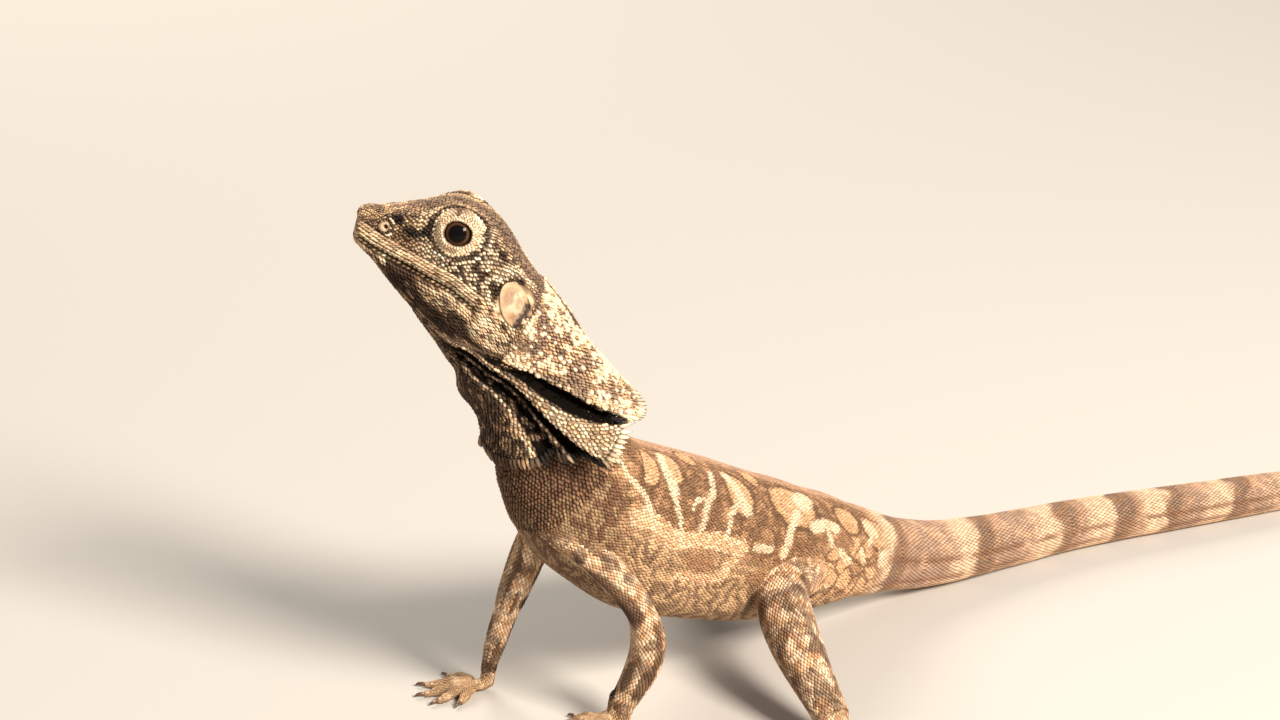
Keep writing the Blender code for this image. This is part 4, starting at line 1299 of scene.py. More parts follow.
class ScaleShape(Enum):
    """The kinds of scale on the animal."""

    KEELED = ScaleForm(0.12, 0.42, (-0.2, 0.62), (0.34, 1.0))
    GRAIN = ScaleForm(0.0, 0.12, (-0.17, 0.92), (0.17, 1.0), 1.04)
    PLATE = ScaleForm(0.0, 0.25, (-0.3, 0.8), (0.3, 0.95), 1.08)
    SPINE = ScaleForm(0.5, 0.9, (-0.1, 0.9), (0.5, 1.5))


RIM, CREST_FRONT, CREST_REAR, UNDER = np.arange(8), 8, 9, 10
SCALE_POINTS = 11
SCALE_FACES = np.array(
    [(i, (i + 1) % 8, CREST_FRONT if i in (0, 1, 6, 7) else CREST_REAR) for i in RIM]
    + [(2, CREST_REAR, CREST_FRONT), (6, CREST_FRONT, CREST_REAR)]
    + [((i + 1) % 8, i, UNDER) for i in RIM]
)
RIM_SHADE = 0.42  # painted shade and painted highlight of each scale: light of a scale's rim, front crest, rear crest and underside
CREST_SHADES = (1.1, 1.3)
UNDER_SHADE = 0.25
SOFT = {"rim": 0.9, "uneven": 0.4}  # plainer scales of trunk, tail and legs: less painted shade at their rims and less uneven
PATCH = 0.003  # width of a scale's patch on its unwrap
EDGE = 0.005  # what stays free round the unwrap


@dataclass
class Scales:
    """Many scales to be: roots, directions, sizes, colours and places on the unwrap."""

    roots: Array
    normals: Array
    lie: Array
    sizes: Array
    paint: Array
    places: Array
    shape: ScaleShape
    # light of the rim: painted shade towards the scale's edge
    rim: float

    def picked(self, wanted: Array) -> Scales:
        """Only the scales for which this is true."""
        per_scale = ("roots", "normals", "lie", "sizes", "paint", "places")
        return replace(self, **{name: getattr(self, name)[wanted] for name in per_scale})

    def settled(self, skin: Item, reach: float = 0.45) -> Scales:
        """The scales moved onto the skin, without those whose root is off it."""
        found = nearest_on(self.roots, skin, ("place", "normal"))
        near = norm(found["place"] - self.roots, axis=1) < reach
        self.roots = found["place"]
        self.normals = unit(found["normal"])
        return self.picked(near)

    def points(self) -> Array:
        """All points: root + x * aside + y * lie + z * normal, shape (n, 11, 3)."""
        form = self.shape.value.points()
        normal = self.normals
        lie = unit(self.lie - normal * (self.lie * normal).sum(axis=1, keepdims=True))
        aside = np.cross(lie, normal)
        local = form[None, :, :] * self.sizes[:, None, :]
        return (
            self.roots[:, None, :] + local[..., :1] * aside[:, None, :]
            + local[..., 1:2] * lie[:, None, :] + local[..., 2:] * normal[:, None, :]
        )

    def colours(self) -> Array:
        """Each scale's colour at its eleven points, darker at the rim: painted shade at rim and
        underside, painted highlight on the crest.
        """
        shade = np.full(SCALE_POINTS, self.rim)
        depth = (1 - self.rim) / (1 - RIM_SHADE)
        shade[[CREST_FRONT, CREST_REAR]] = 1 + (np.array(CREST_SHADES) - 1) * depth
        shade[UNDER] = UNDER_SHADE
        return np.clip(self.paint[:, None, :] * shade[None, :, None], 0, 0.92)

    def unwrap(self) -> Array:
        """Each point's place on the unwrap, a small patch at the root's own place."""
        form = self.shape.value.points()[:, :2]
        return self.places[:, None, :] + form[None, :, :] * PATCH


def knobbed(scales: Scales, wanted: Array, seed: int) -> list[Scales]:
    """The plain scales, and those made large pale knobs where wanted, mostly in clusters."""
    random = np.random.default_rng(seed)
    cluster = ramp(noise(scales.roots, 2.1, 23), 0.5, 0.64)
    draw = random.uniform(size=len(scales.roots))
    picks = wanted & (draw < KNOB_SHARES[0] + KNOB_SHARES[1] * cluster)
    knobs = scales.picked(picks)
    knobs.sizes = knobs.sizes * random.uniform(1.1, 1.7, (len(knobs.sizes), 1))
    knobs.paint = lay(knobs.paint, PALE, random.uniform(0.75, 1.0, len(knobs.sizes)))
    # Knobs get less painted shade at their rims.
    knobs.shape, knobs.rim = ScaleShape.GRAIN, 0.55
    return [scales.picked(~picks), knobs]


KNOB_SHARES = (0.075, 0.5)  # share of scales that are knobs, and more in clusters


def coat_mesh(name: str, kinds: Sequence[Scales]) -> Mesh:
    """One mesh of all these scales, with their colours and the map OFBake."""
    points = raised(np.concatenate([k.points().reshape(-1, 3) for k in kinds]), FLOOR)
    paint = np.concatenate([k.colours().reshape(-1, 3) for k in kinds])
    places = np.concatenate([k.unwrap().reshape(-1, 2) for k in kinds])
    count = len(points) // SCALE_POINTS
    first = np.arange(count)[:, None, None] * SCALE_POINTS
    faces = (SCALE_FACES[None] + first).reshape(-1, 3)
    one = faces[: len(SCALE_FACES)]
    if signed_volume(points[:SCALE_POINTS] - points[0], [one]) < 0:
        faces = faces[:, ::-1]
    mesh = mesh_of(name, points, [faces])
    give_values(mesh, "paint", paint)
    layer = mesh.uv_layers.new(name="OFBake")
    corner = np.empty(len(mesh.loops), np.int32)
    mesh.loops.foreach_get("vertex_index", corner)
    layer.uv.foreach_set("vector", places[corner].astype(np.float32).ravel())
    return mesh


@dataclass
class ScaleRows:
    """Rows of scales over a surface, each half a scale out of step with the last.

    A row holds as many scales as its length round over the pitch, kept the same for as
    long as that fits.
    """

    surface: Surface
    start: float
    end: float
    pitch: float | Callable[[Array], Array]
    turns: Pair = (-math.pi, math.pi)
    row_share: float = 0.8
    jitter: float = 0.12
    width: float = 1.06
    length: float = 1.3
    height: float = 0.5
    seed: int = 0
    around: int = 121
    lean: float = 0.0
    uneven: float = 1.0
    shape: ScaleShape = ScaleShape.KEELED
    # light of the rim: painted shade towards each scale's edge
    rim: float = RIM_SHADE

    def arcs(self, at: Array) -> tuple[Array, Array]:
        """Length round each row, and the share of it at evenly spaced turns."""
        turn = np.linspace(*self.turns, self.around)
        ring = self.surface(at[:, None], turn[None, :])
        steps = norm(np.diff(ring, axis=1), axis=2)
        total = np.cumsum(steps, axis=1)
        share = np.concatenate([np.zeros((len(at), 1)), total / total[:, -1:]], axis=1)
        return total[:, -1], share

    def rows(self) -> tuple[Array, Array]:
        """Distance along and number of scales of each row."""
        samples = 400
        fine = np.linspace(self.start, self.end, samples)
        girth, _ = self.arcs(fine)
        turn = np.linspace(*self.turns, 25)[None, :-1]
        step = (self.end - self.start) / (samples - 1)
        ring = self.surface(fine[:, None], turn)
        moved = norm(np.diff(ring, axis=0), axis=2).mean(axis=1) / step
        pace = np.append(moved, moved[-1])
        wanted = self.pitch(fine) if callable(self.pitch) else np.full(samples, self.pitch)
        closed = math.isclose(self.turns[1] - self.turns[0], TURN)
        at, count, here, held = [], [], self.start, 0
        while here < self.end:
            round_now, size, speed = (
                float(np.interp(here, fine, values)) for values in (girth, wanted, pace)
            )
            ideal = max(round_now / size, 5.0)
            if abs(math.log(ideal / max(held, 1))) > 0.1:
                held = int(round(ideal / 2)) * 2 if closed else int(round(ideal))
            at.append(here)
            count.append(held)
            here += self.row_share * size / max(speed, 0.2)
        return np.array(at), np.array(count)

    def laid(self) -> tuple[Array, Array, Array, Array]:
        """Every scale's place.

        Returns:
            Distances along, turns, the scale's width, and its share of the way round.
        """
        rows, counts = self.rows()
        girth, arc = self.arcs(rows)
        row = np.repeat(np.arange(len(rows)), counts)
        column = np.concatenate([np.arange(c) for c in counts])
        random = np.random.default_rng(self.seed)
        wobble = random.uniform(-0.5, 0.5, (2, len(row))) * self.jitter
        share = (column + 0.25 + 0.5 * (row % 2) + wobble[0]) / counts[row]
        share = np.clip(share, 0, 0.9999)
        turn = np.linspace(*self.turns, self.around)
        line = (arc + np.arange(len(rows))[:, None]).ravel()
        found = np.interp(row + share, line, np.tile(turn, len(rows)))
        width = girth[row] / counts[row]
        return rows[row] + wobble[1] * width, found, width, share

    def scales(self, paint: Callable[[Array, Array, Array], Array]) -> Scales:
        """The rows as scales, lying towards the surface's end.

        Args:
            paint: colour of a place, from distance along, turn and position.

        Returns:
            The scales, with normals from the surface's own two directions.
        """
        at, turn, width, share = self.laid()
        small = 0.02
        root = self.surface(at, turn)
        lie = unit(self.surface(at + small, turn) - self.surface(at - small, turn))
        round_it = self.surface(at, turn + small / 4) - self.surface(at, turn - small / 4)
        normal = unit(np.cross(round_it, lie))
        if self.lean:
            lie = math.cos(self.lean) * lie + math.sin(self.lean) * unit(round_it)
        random = np.random.default_rng(self.seed + 1)
        vary = random.uniform(0.88, 1.12, (len(at), 3))
        sizes = width[:, None] * vary * (self.width, self.length, self.height)
        light = 0.74 * random.uniform(size=(len(at), 1)) ** 1.4 - 0.34
        light = 1 + self.uneven * light
        along = (at - self.start) / (self.end - self.start)
        places = np.stack([along, share], axis=1) * (1 - 2 * EDGE) + EDGE
        paint = paint(at, turn, root) * light
        return Scales(root, normal, lie, sizes, paint, places, self.shape, self.rim)


# ---- shader notation


class Graph:
    """A node tree, filled one node at a time."""

    def __init__(self, tree: bpy.types.NodeTree, family: str = "ShaderNode") -> None:
        """Starts from an empty tree, for nodes whose types begin with the family."""
        self.tree, self.family = tree, family
        tree.nodes.clear()

    def node(self, kind: str, settings: dict | None = None, **sockets: object) -> bpy.types.Node:
        """Adds a node.

        Args:
            kind: the node's type, without its family.
            settings: its properties, set before its sockets.
            sockets: values or links by socket name, with _ for a space, or i0, i1 by
                number.

        Returns:
            The node.
        """
        made = self.tree.nodes.new(self.family + kind)
        for name, value in (settings or {}).items():
            if name == "stops":
                self.set_stops(made, value)
            else:
                setattr(made, name, value)
        for name, value in sockets.items():
            numbered = name[0] == "i" and name[1:].isdigit()
            socket = made.inputs[int(name[1:]) if numbered else name.replace("_", " ")]
            if isinstance(value, Wire):
                self.tree.links.new(value.socket, socket)
            else:
                socket.default_value = value
        return made

    @staticmethod
    def set_stops(node: bpy.types.Node, stops: Sequence[tuple[float, Array]]) -> None:
        """Gives a colour ramp its stops."""
        elements = node.color_ramp.elements
        while len(elements) < len(stops):
            elements.new(0.5)
        for element, (place, colour) in zip(elements, stops):
            element.position = place
            element.color = (*colour, 1.0)

    def wire(self, kind: str, out: str | int, settings: dict | None = None, **sockets) -> Wire:
        """Adds a node and gives one of its outputs."""
        return Wire(self, self.node(kind, settings, **sockets).outputs[out])

    def surface(self, **sockets: object) -> None:
        """Ends the tree in a surface shader with these sockets."""
        shader = self.wire("BsdfPrincipled", "BSDF", **sockets)
        self.node("OutputMaterial", Surface=shader)


def new_finish(name: str) -> tuple[Material, Graph]:
    """A material and its empty node tree."""
    made = bpy.data.materials.new(name)
    made.use_nodes = True
    return made, Graph(made.node_tree)


@dataclass
class Wire:
    """A socket's output, on which arithmetic adds Math nodes."""

    graph: Graph
    socket: bpy.types.NodeSocket

    def math(self, operation: str, *others: object) -> Wire:
        """A Math node of this and the others."""
        values = {f"i{k}": v for k, v in enumerate((self, *others))}
        return self.graph.wire("Math", "Value", {"operation": operation}, **values)

    def __add__(self, other: object) -> Wire:
        """This plus the other."""
        return self.math("ADD", other)

    def __mul__(self, other: object) -> Wire:
        """This times the other."""
        return self.math("MULTIPLY", other)

    def __sub__(self, other: object) -> Wire:
        """This less the other."""
        return self.math("SUBTRACT", other)

    def __rsub__(self, other: float) -> Wire:
        """The other less this."""
        return (self * -1.0).math("ADD", other)

    __radd__ = __add__
    __rmul__ = __mul__


@dataclass(frozen=True)
class Horn:
    """A finish of skin or horn whose colour is carried at the points of the mesh.

    Grain is the size in metres of its fine unevenness, and bump that one's height.
    """

    name: str
    roughness: float
    grain: float
    bump: float
    uneven: float = 0.12
    specular: float = 0.4
    coat: float = 0.0

    def material(self) -> Material:
        """The finish as a material."""
        made, graph = new_finish(self.name)
        place = graph.wire("TexCoord", "Object")
        fine = graph.wire("TexNoise", "Fac", Vector=place, Scale=1 / self.grain, Detail=3.0)
        slow = graph.wire("TexNoise", "Fac", Vector=place, Scale=0.2 / self.grain)
        paint = graph.wire("VertexColor", "Color", {"layer_name": "paint"})
        light = (fine - 0.5) * (2 * self.uneven) + (slow - 0.5) * self.uneven + 1.0
        scale = {"operation": "SCALE"}
        scaled = graph.wire("VectorMath", "Vector", scale, i0=paint, Scale=light)
        rough = fine * 0.16 + (self.roughness - 0.08)
        normal = graph.wire("Bump", "Normal", Height=fine, Distance=self.bump, Strength=1.0)
        graph.surface(
            Base_Color=scaled, Roughness=rough, Normal=normal,
            Specular_IOR_Level=self.specular, Coat_Weight=self.coat, Coat_Roughness=0.25,
        )
        return made


SKIN = Horn("creased skin", 0.85, 0.0003, 0.00006, 0.12, 0.04)
SCALE = Horn("scale horn", 0.66, 0.00035, 0.00003, 0.14, 0.22)
CLAW = Horn("claw horn", 0.34, 0.0004, 0.00002, 0.14, 0.5, 0.25)
DRUM_SKIN = Horn("eardrum skin", 0.6, 0.0003, 0.00006, 0.14, 0.3)


@dataclass(frozen=True)
class EyeFinish:
    """A dark wet eye: black pupil, thin copper iris and brown rim, by angle from its axis."""

    name: str = "eye"
    pupil: float = 25.0
    iris: float = 34.5

    def material(self) -> Material:
        """The finish as a material, from the attribute that holds the angle over 90."""
        made, graph = new_finish(self.name)
        place = graph.wire("TexCoord", "Object")
        fine = graph.wire("TexNoise", "Fac", Vector=place, Scale=4200.0, Detail=4.0)
        angle = graph.wire("Attribute", "Fac", {"attribute_name": "angle"})
        pupil, iris = self.pupil / 90, self.iris / 90
        stops = (
            (pupil - 0.015, ink(0.004, 0.003, 0.003)), (pupil + 0.012, ink(0.03, 0.013, 0.006)),
            ((pupil + iris) / 2 + 0.01, ink(0.09, 0.04, 0.02)), (iris, ink(0.04, 0.018, 0.01)),
            (iris + 0.03, ink(0.012, 0.007, 0.005)), (0.8, ink(0.02, 0.012, 0.008)),
        )
        moved = angle + (fine - 0.5) * 0.03
        colour = graph.wire("ValToRGB", "Color", {"stops": stops}, Fac=moved)
        graph.surface(
            Base_Color=colour, Roughness=fine * 0.06 + 0.16,
            Specular_IOR_Level=0.0, Coat_Weight=0.3, Coat_Roughness=0.03, Coat_IOR=1.35,
        )
        return made


# ---- the animal's pieces


@dataclass
class Eye:
    """One eye, its lids and its socket."""

    side: int
    word: str
    radius: float = EYE_RADIUS
    lid: float = 0.5
    opening: Pair = (39.0, 33.0)  # half angles of the lids' opening
    bulge: float = 0.05
    lid_rows_end: float = 2.45
    socket_gap: float = 0.05
    cut_reach: float = 5.0
    rings: int = 72
    around: int = 96

    def __post_init__(self) -> None:
        """Works out its centre and directions."""
        self.centre = EYE.place(self.side)
        self.out, self.ahead, self.up = EYE.axes(self.side, EYE_TILT)

    def ball(self, polar: Array, turn: Array, radius: Array | float) -> Array:
        """Points centre + r (cos p out + sin p (cos t up + sin t ahead))."""
        polar, turn, radius = np.broadcast_arrays(polar, turn, radius)
        flat = np.cos(turn)[..., None] * self.up + np.sin(turn)[..., None] * self.ahead
        way = np.cos(polar)[..., None] * self.out + np.sin(polar)[..., None] * flat
        return self.centre + radius[..., None] * way

    def angles(self, least: float) -> tuple[Array, Array]:
        """Angles from the axis, as a column, and turns round it, as a row."""
        polar = np.linspace(least, math.pi - least, self.rings)
        return polar[:, None], full_turn(self.around)

    def edge(self, turn: Array) -> Array:
        """Angle of the lids' edge from the eye's axis, round an ellipse."""
        ahead, up = np.radians(self.opening)
        return 1 / np.hypot(np.sin(turn) / ahead, np.cos(turn) / up)

    def lid_surface(self, at: Array, turn: Array) -> Array:
        """The lids' outer surface, by millimetres from their edge and turn."""
        radius = self.radius + self.lid
        return self.ball(self.edge(turn) + at / radius, turn, radius)

    def orbit(self) -> Shell:
        """The ball of lids and socket that joins the skin."""
        polar, turn = self.angles(0.01)
        grid = self.ball(polar, turn, self.radius + self.lid)
        flat = grid.reshape(-1, 3)
        away = (polar - self.edge(turn)) * (self.radius + self.lid)
        angle = np.broadcast_to(turn, grid.shape[:2]).ravel()
        paint = self.lid_paint(away.ravel(), angle, flat)
        return closed_tube(grid, paint)

    def lid_paint(self, at: Array, turn: Array, spot: Array) -> Array:
        """Cream lids, brown blotches above and behind, and a dark line round them, painted shade of
        their crease.
        """
        fine = noise(spot, 0.5, 71)
        over = bell(np.abs((turn - 0.15 + math.pi) % TURN - math.pi), 0.42)
        off = spot - self.centre
        oval = np.hypot((off @ self.ahead) / LID_RING[0], (off @ self.up) / LID_RING[1])
        return lay(
            PALE,
            CREAM, ramp(fine, 0.5, 0.8) * 0.6,
            BROWN, over * ramp(at, 0.2, 0.8) * ramp(fine, 0.2, 0.5),
            BLACK, 1 - ramp(at, 0.02, 0.16),
            # painted shade of the crease round the lids
            UMBER, ramp(oval, 0.98, 1.0),
        )

    def cutter(self) -> Shell:
        """What is cut out for the eyeball and the opening between the lids."""
        polar, turn = self.angles(0.01)
        open_now = 1 - ease(-0.03, 0.03, polar - self.edge(turn))
        inner = self.radius + self.socket_gap
        grid = self.ball(polar, turn, inner + (self.cut_reach - inner) * open_now)
        return closed_tube(grid)

    def lid_scales(self) -> list[Scales]:
        """Rings of beads round the opening."""
        rows = ScaleRows(
            self.lid_surface, 0.16, self.lid_rows_end, lambda at: 0.36 + 0.05 * at, row_share=0.92,
            width=1.1, length=1.15, height=0.3, seed=5, shape=ScaleShape.GRAIN, rim=0.88,
        )
        return [rows.scales(self.lid_paint)]

    def build(self) -> Item:
        """The eyeball: a sphere whose cornea bulges by exp(-(p / 35 degrees)^2)."""
        polar, turn = self.angles(0.005)
        swell = 1 + self.bulge * bell(polar, math.radians(35))
        grid = self.ball(polar, turn, (self.radius - 0.04) * swell)
        shell = closed_tube(grid)
        name = f"eyeball_{self.word}"
        mesh = mesh_of(name, shell.points, shell.faces)
        way = unit(shell.points - self.centre)
        give_values(mesh, "angle", np.arccos(np.clip(way @ self.out, -1, 1)) / (math.pi / 2))
        piece = piece_of(name, mesh, EyeFinish(f"eye {self.word}").material())
        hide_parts(f"eye_{self.word}")
        return piece


@dataclass
class Eardrum:
    """One eardrum: a smooth oval skin drawn in at its middle, in a shallow pit."""

    side: int
    word: str
    depth: float = 0.16
    hollow: float = 0.12
    rim: float = 0.1
    shade: float = 0.68

    def place(self, share: Array, turn: Array, sink: float = 0.0) -> Array:
        """Points of the drum: an oval on the neck, drawn in at its middle."""
        at = DRUM.at + DRUM_HALF[0] * 0.96 * share * np.sin(turn)
        around = DRUM_HALF[1] * 0.96 * share * np.cos(turn) / girth_of(at)
        rise = self.rim * share**3 - self.hollow * bell(share, 0.5)
        angle = self.side * np.radians(DRUM_TURN - around)
        return LINE.points(at, angle, relief(at, angle) + rise - self.depth - sink)

    def build(self, material: Material) -> Item:
        """The drum as a closed dish, with painted shadow of the pit's rear rim across its rear."""
        share = np.linspace(0.02, 1, 28)[:, None]
        turn = full_turn(64)
        share, turn = np.broadcast_arrays(share, turn)
        grid = np.concatenate([self.place(share, turn), self.place(share, turn, 0.5)[::-1]])
        spot = grid.reshape(-1, 3)
        both = np.concatenate([share, share[::-1]]).ravel()
        around = np.concatenate([turn, turn[::-1]]).ravel()
        fine, broad = noise(spot, 0.35, 81), noise(spot, 1.1, 82)
        back = both * np.sin(around) + (fine - 0.5) * 0.4
        paint = lay(
            SAND,
            PALE, ramp(fine, 0.3, 0.6) * 0.8,
            TAN, ramp(broad, 0.46, 0.58) * 0.7,
            CREAM, ramp(both, 0.7, 0.85) * 0.7,
            # Painted shadow of the pit's rear rim: a dark slit across the drum's rear.
            UMBER, ramp(back, 0.3, 0.5) * (1 - ramp(back, 0.72, 0.86)),
        )
        shell = closed_tube(grid, paint * self.shade)
        name = f"drum_skin_{self.word}"
        piece = piece_of(name, shell.mesh(name), material)
        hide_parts(f"eardrum_{self.word}")
        return piece


@dataclass
class Claws:
    """The five claws of one foot: narrow hooks, deeper than wide."""

    leg: Leg
    around: int = 14
    steps: int = 18

    def build(self, material: Material) -> Item:
        """All five as one mesh."""
        shells = []
        share = np.linspace(0, 1, len(CLAW_AHEAD))
        fine = np.linspace(0, 1, self.steps)
        turn = full_turn(self.around)
        for toe, way in self.leg.toes():
            tip = toe.table[-1, :3].copy()
            line = tip + np.outer(CLAW_AHEAD, heading_of(way))
            line[:, 2] = CLAW_HEIGHTS
            path = cubic_through(share, line, fine)
            hook = Tube(path, cubic_through(share, np.array(CLAW_RADII), fine))
            grid = raised(hook.points(hook.knots[:, None], turn), FLOOR)
            base = lay(BROWN, UMBER, fine)
            paint = np.repeat(base[:, None, :], self.around, axis=1)
            shells.append(closed_tube(grid, paint))
        name = f"claws_{self.leg.name}"
        piece = piece_of(name, Shell.joined(shells).mesh(name), material)
        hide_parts(*[f"claw_{self.leg.name}_{n}" for n in range(1, 6)])
        return piece


@dataclass
class Frill:
    """One side of the frill, folded down along the neck in leaves."""

    side: int
    word: str
    outer: float = 0.4
    inner: float = -0.1
    steps: tuple[int, int] = (90, 300)
    upper_share: float = 0.4

    def surface(self, at: Array, across: Array, sink: float = 0.0) -> Array:
        """The outer face: pleat lines, each a quadratic, blended across.

        Args:
            at: millimetres from the root, up to FRILL_LENGTH.
            across: number of the pleat line, from the dorsal edge down.
            sink: distance below the outer face.

        Returns:
            Points, with a last axis of 3.
        """
        at, across = np.broadcast_arrays(at, across)
        table = np.array([[*p.root, *p.waist, *p.tip] for p in PLEATS])
        order = np.arange(len(PLEATS), dtype=float)
        found = cubic_through(order, table, across.ravel()).T.reshape(3, 3, *at.shape)
        place, angle, lift = through_three(*found, at / FRILL_LENGTH)
        return LINE.points(place, self.side * np.radians(angle), lift + self.outer - sink)

    def shell(self) -> Shell:
        """The frill's leaf as a closed slab."""
        at = np.linspace(0, FRILL_LENGTH, self.steps[0])[:, None]
        across = np.linspace(0, len(PLEATS) - 1, self.steps[1])[None, :]
        outer = self.surface(at, across)
        inner = self.surface(at, across, self.outer - self.inner)
        share, number = np.broadcast_arrays(at / FRILL_LENGTH, across)
        paint = paint_frill(share.ravel(), number.ravel(), outer.reshape(-1, 3))
        return closed_slab(outer, inner, paint.reshape(outer.shape))

    def paint(self, at: Array, across: Array, spot: Array) -> Array:
        """Colours by millimetres from the root and pleat number."""
        return paint_frill(at / FRILL_LENGTH, across, spot)

    def scales(self) -> list[Scales]:
        """Scales over the outer face and pale pointed ones along the free edge."""
        last = len(PLEATS) - 1.02
        field = ScaleRows(
            self.surface, 0.4, FRILL_LENGTH - 0.3, 0.52, turns=(0.02, last),
            width=0.96, length=1.12, height=0.4, jitter=0.36, seed=31 + self.side, around=901,
        )
        edge = ScaleRows(
            self.surface, FRILL_LENGTH - 0.25, FRILL_LENGTH - 0.05, 0.6, turns=(0.02, last),
            width=1.15, length=2.0, height=0.8, seed=41 + self.side, around=901,
            shape=ScaleShape.SPINE,
        )
        plain = field.scales(self.paint)
        # No scales where the gaps' painted shadow is near black, and no knobs in it.
        plain = plain.picked(plain.paint.mean(axis=1) > 0.022)
        upper = (plain.paint.mean(axis=1) > 0.1) & (plain.places[:, 1] < self.upper_share)
        return [*knobbed(plain, upper, 9), edge.scales(self.paint)]


@dataclass
class LimbPart:
    """A tube of a leg: its coat's depth and the share of the leg at its start and end."""

    leg: Leg
    tube: Tube
    coat: float
    start: float
    end: float
    pitch: float
    seed: int
    around: int

    def surface(self, at: Array, turn: Array) -> Array:
        """Its skin, kept off the floor."""
        return raised(self.tube.points(at, turn, -self.coat), FLOOR + self.coat * 0.6)

    def paint(self, at: Array, turn: Array, spot: Array) -> Array:
        """Colours by distance along the tube, turn and place."""
        share = self.start + (self.end - self.start) * at / self.tube.length
        return paint_leg(self.leg, share, turn, spot)

    def shell(self) -> Shell:
        """Its closed surface."""
        rows = np.linspace(0, self.tube.length, max(12, int(self.tube.length / 0.35)))
        return painted_tube(self.surface, rows, self.around, self.paint)

    def scales(self) -> Scales:
        """Rows of scales down it."""
        rows = ScaleRows(
            self.surface, 0.4, self.tube.length - 0.1, self.pitch, seed=self.seed, height=0.2, **SOFT
        )
        return rows.scales(self.paint)


# Of leg, palm and toes: coat's depth, share of the leg at start and end, and scales' size.
LIMB_COATS = ((0.26, 0.0, 1.0, 0.5), (0.18, 1.0, 1.35, 0.42), (0.13, 1.35, 2.0, 0.36))


def parts_of(leg: Leg) -> list[LimbPart]:
    """Leg, palm and toes as surfaces for skin and scales."""
    tubes = [leg.limb(), leg.palm(), *(toe for toe, _ in leg.toes())]
    return [
        LimbPart(leg, tube, *LIMB_COATS[min(number, 2)], 51 + number, 40 if number else 64)
        for number, tube in enumerate(tubes)
    ]


@dataclass
class Lip:
    """Rows of plates along the mouth on one side: way is -1 above its line, +1 below."""

    side: int
    way: int
    ends: Pair = (0.7, 16.9)

    def turn(self, off: Array, at: Array) -> Array:
        """The turn, in radians, at a distance off the mouth's line."""
        return self.side * np.radians(mouth_turn(at) + self.way * off / girth_of(at))

    def surface(self, off: Array, at: Array) -> Array:
        """Points by distance off the line and distance from the snout."""
        off, at = np.broadcast_arrays(off, at)
        return body_skin(at, self.turn(off, at))

    def paint(self, off: Array, at: Array, spot: Array) -> Array:
        """Colours by distance off the line, distance from the snout and place."""
        upper = self.way < 0
        found = paint_body(at, self.turn(np.abs(off), at), spot)
        edge = 1 - ramp(off, 0.35, 0.75)
        return lay(
            found,
            PALE if upper else CREAM, edge * (0.9 if upper else 0.15),
            PALE, 0.4 * upper * ramp(noise(spot, 0.6, 66), 0.3, 0.6),
        )

    def scales(self) -> list[Scales]:
        """A row of long thin plates on the lip's edge, then slanting ones."""
        edge = ScaleRows(
            self.surface, 0.3, 0.4, 0.7, turns=self.ends, width=1.08, length=0.5, height=0.22,
            jitter=0.1, seed=61 + self.way, shape=ScaleShape.PLATE, rim=0.62,
        )
        above = ScaleRows(
            self.surface, 0.72, 2.3 if self.way < 0 else 1.6, 0.5, turns=self.ends,
            width=0.82, length=1.7, height=0.5, jitter=0.2, seed=65 + self.way, lean=1.2,
        )
        return [edge.scales(self.paint), above.scales(self.paint)]


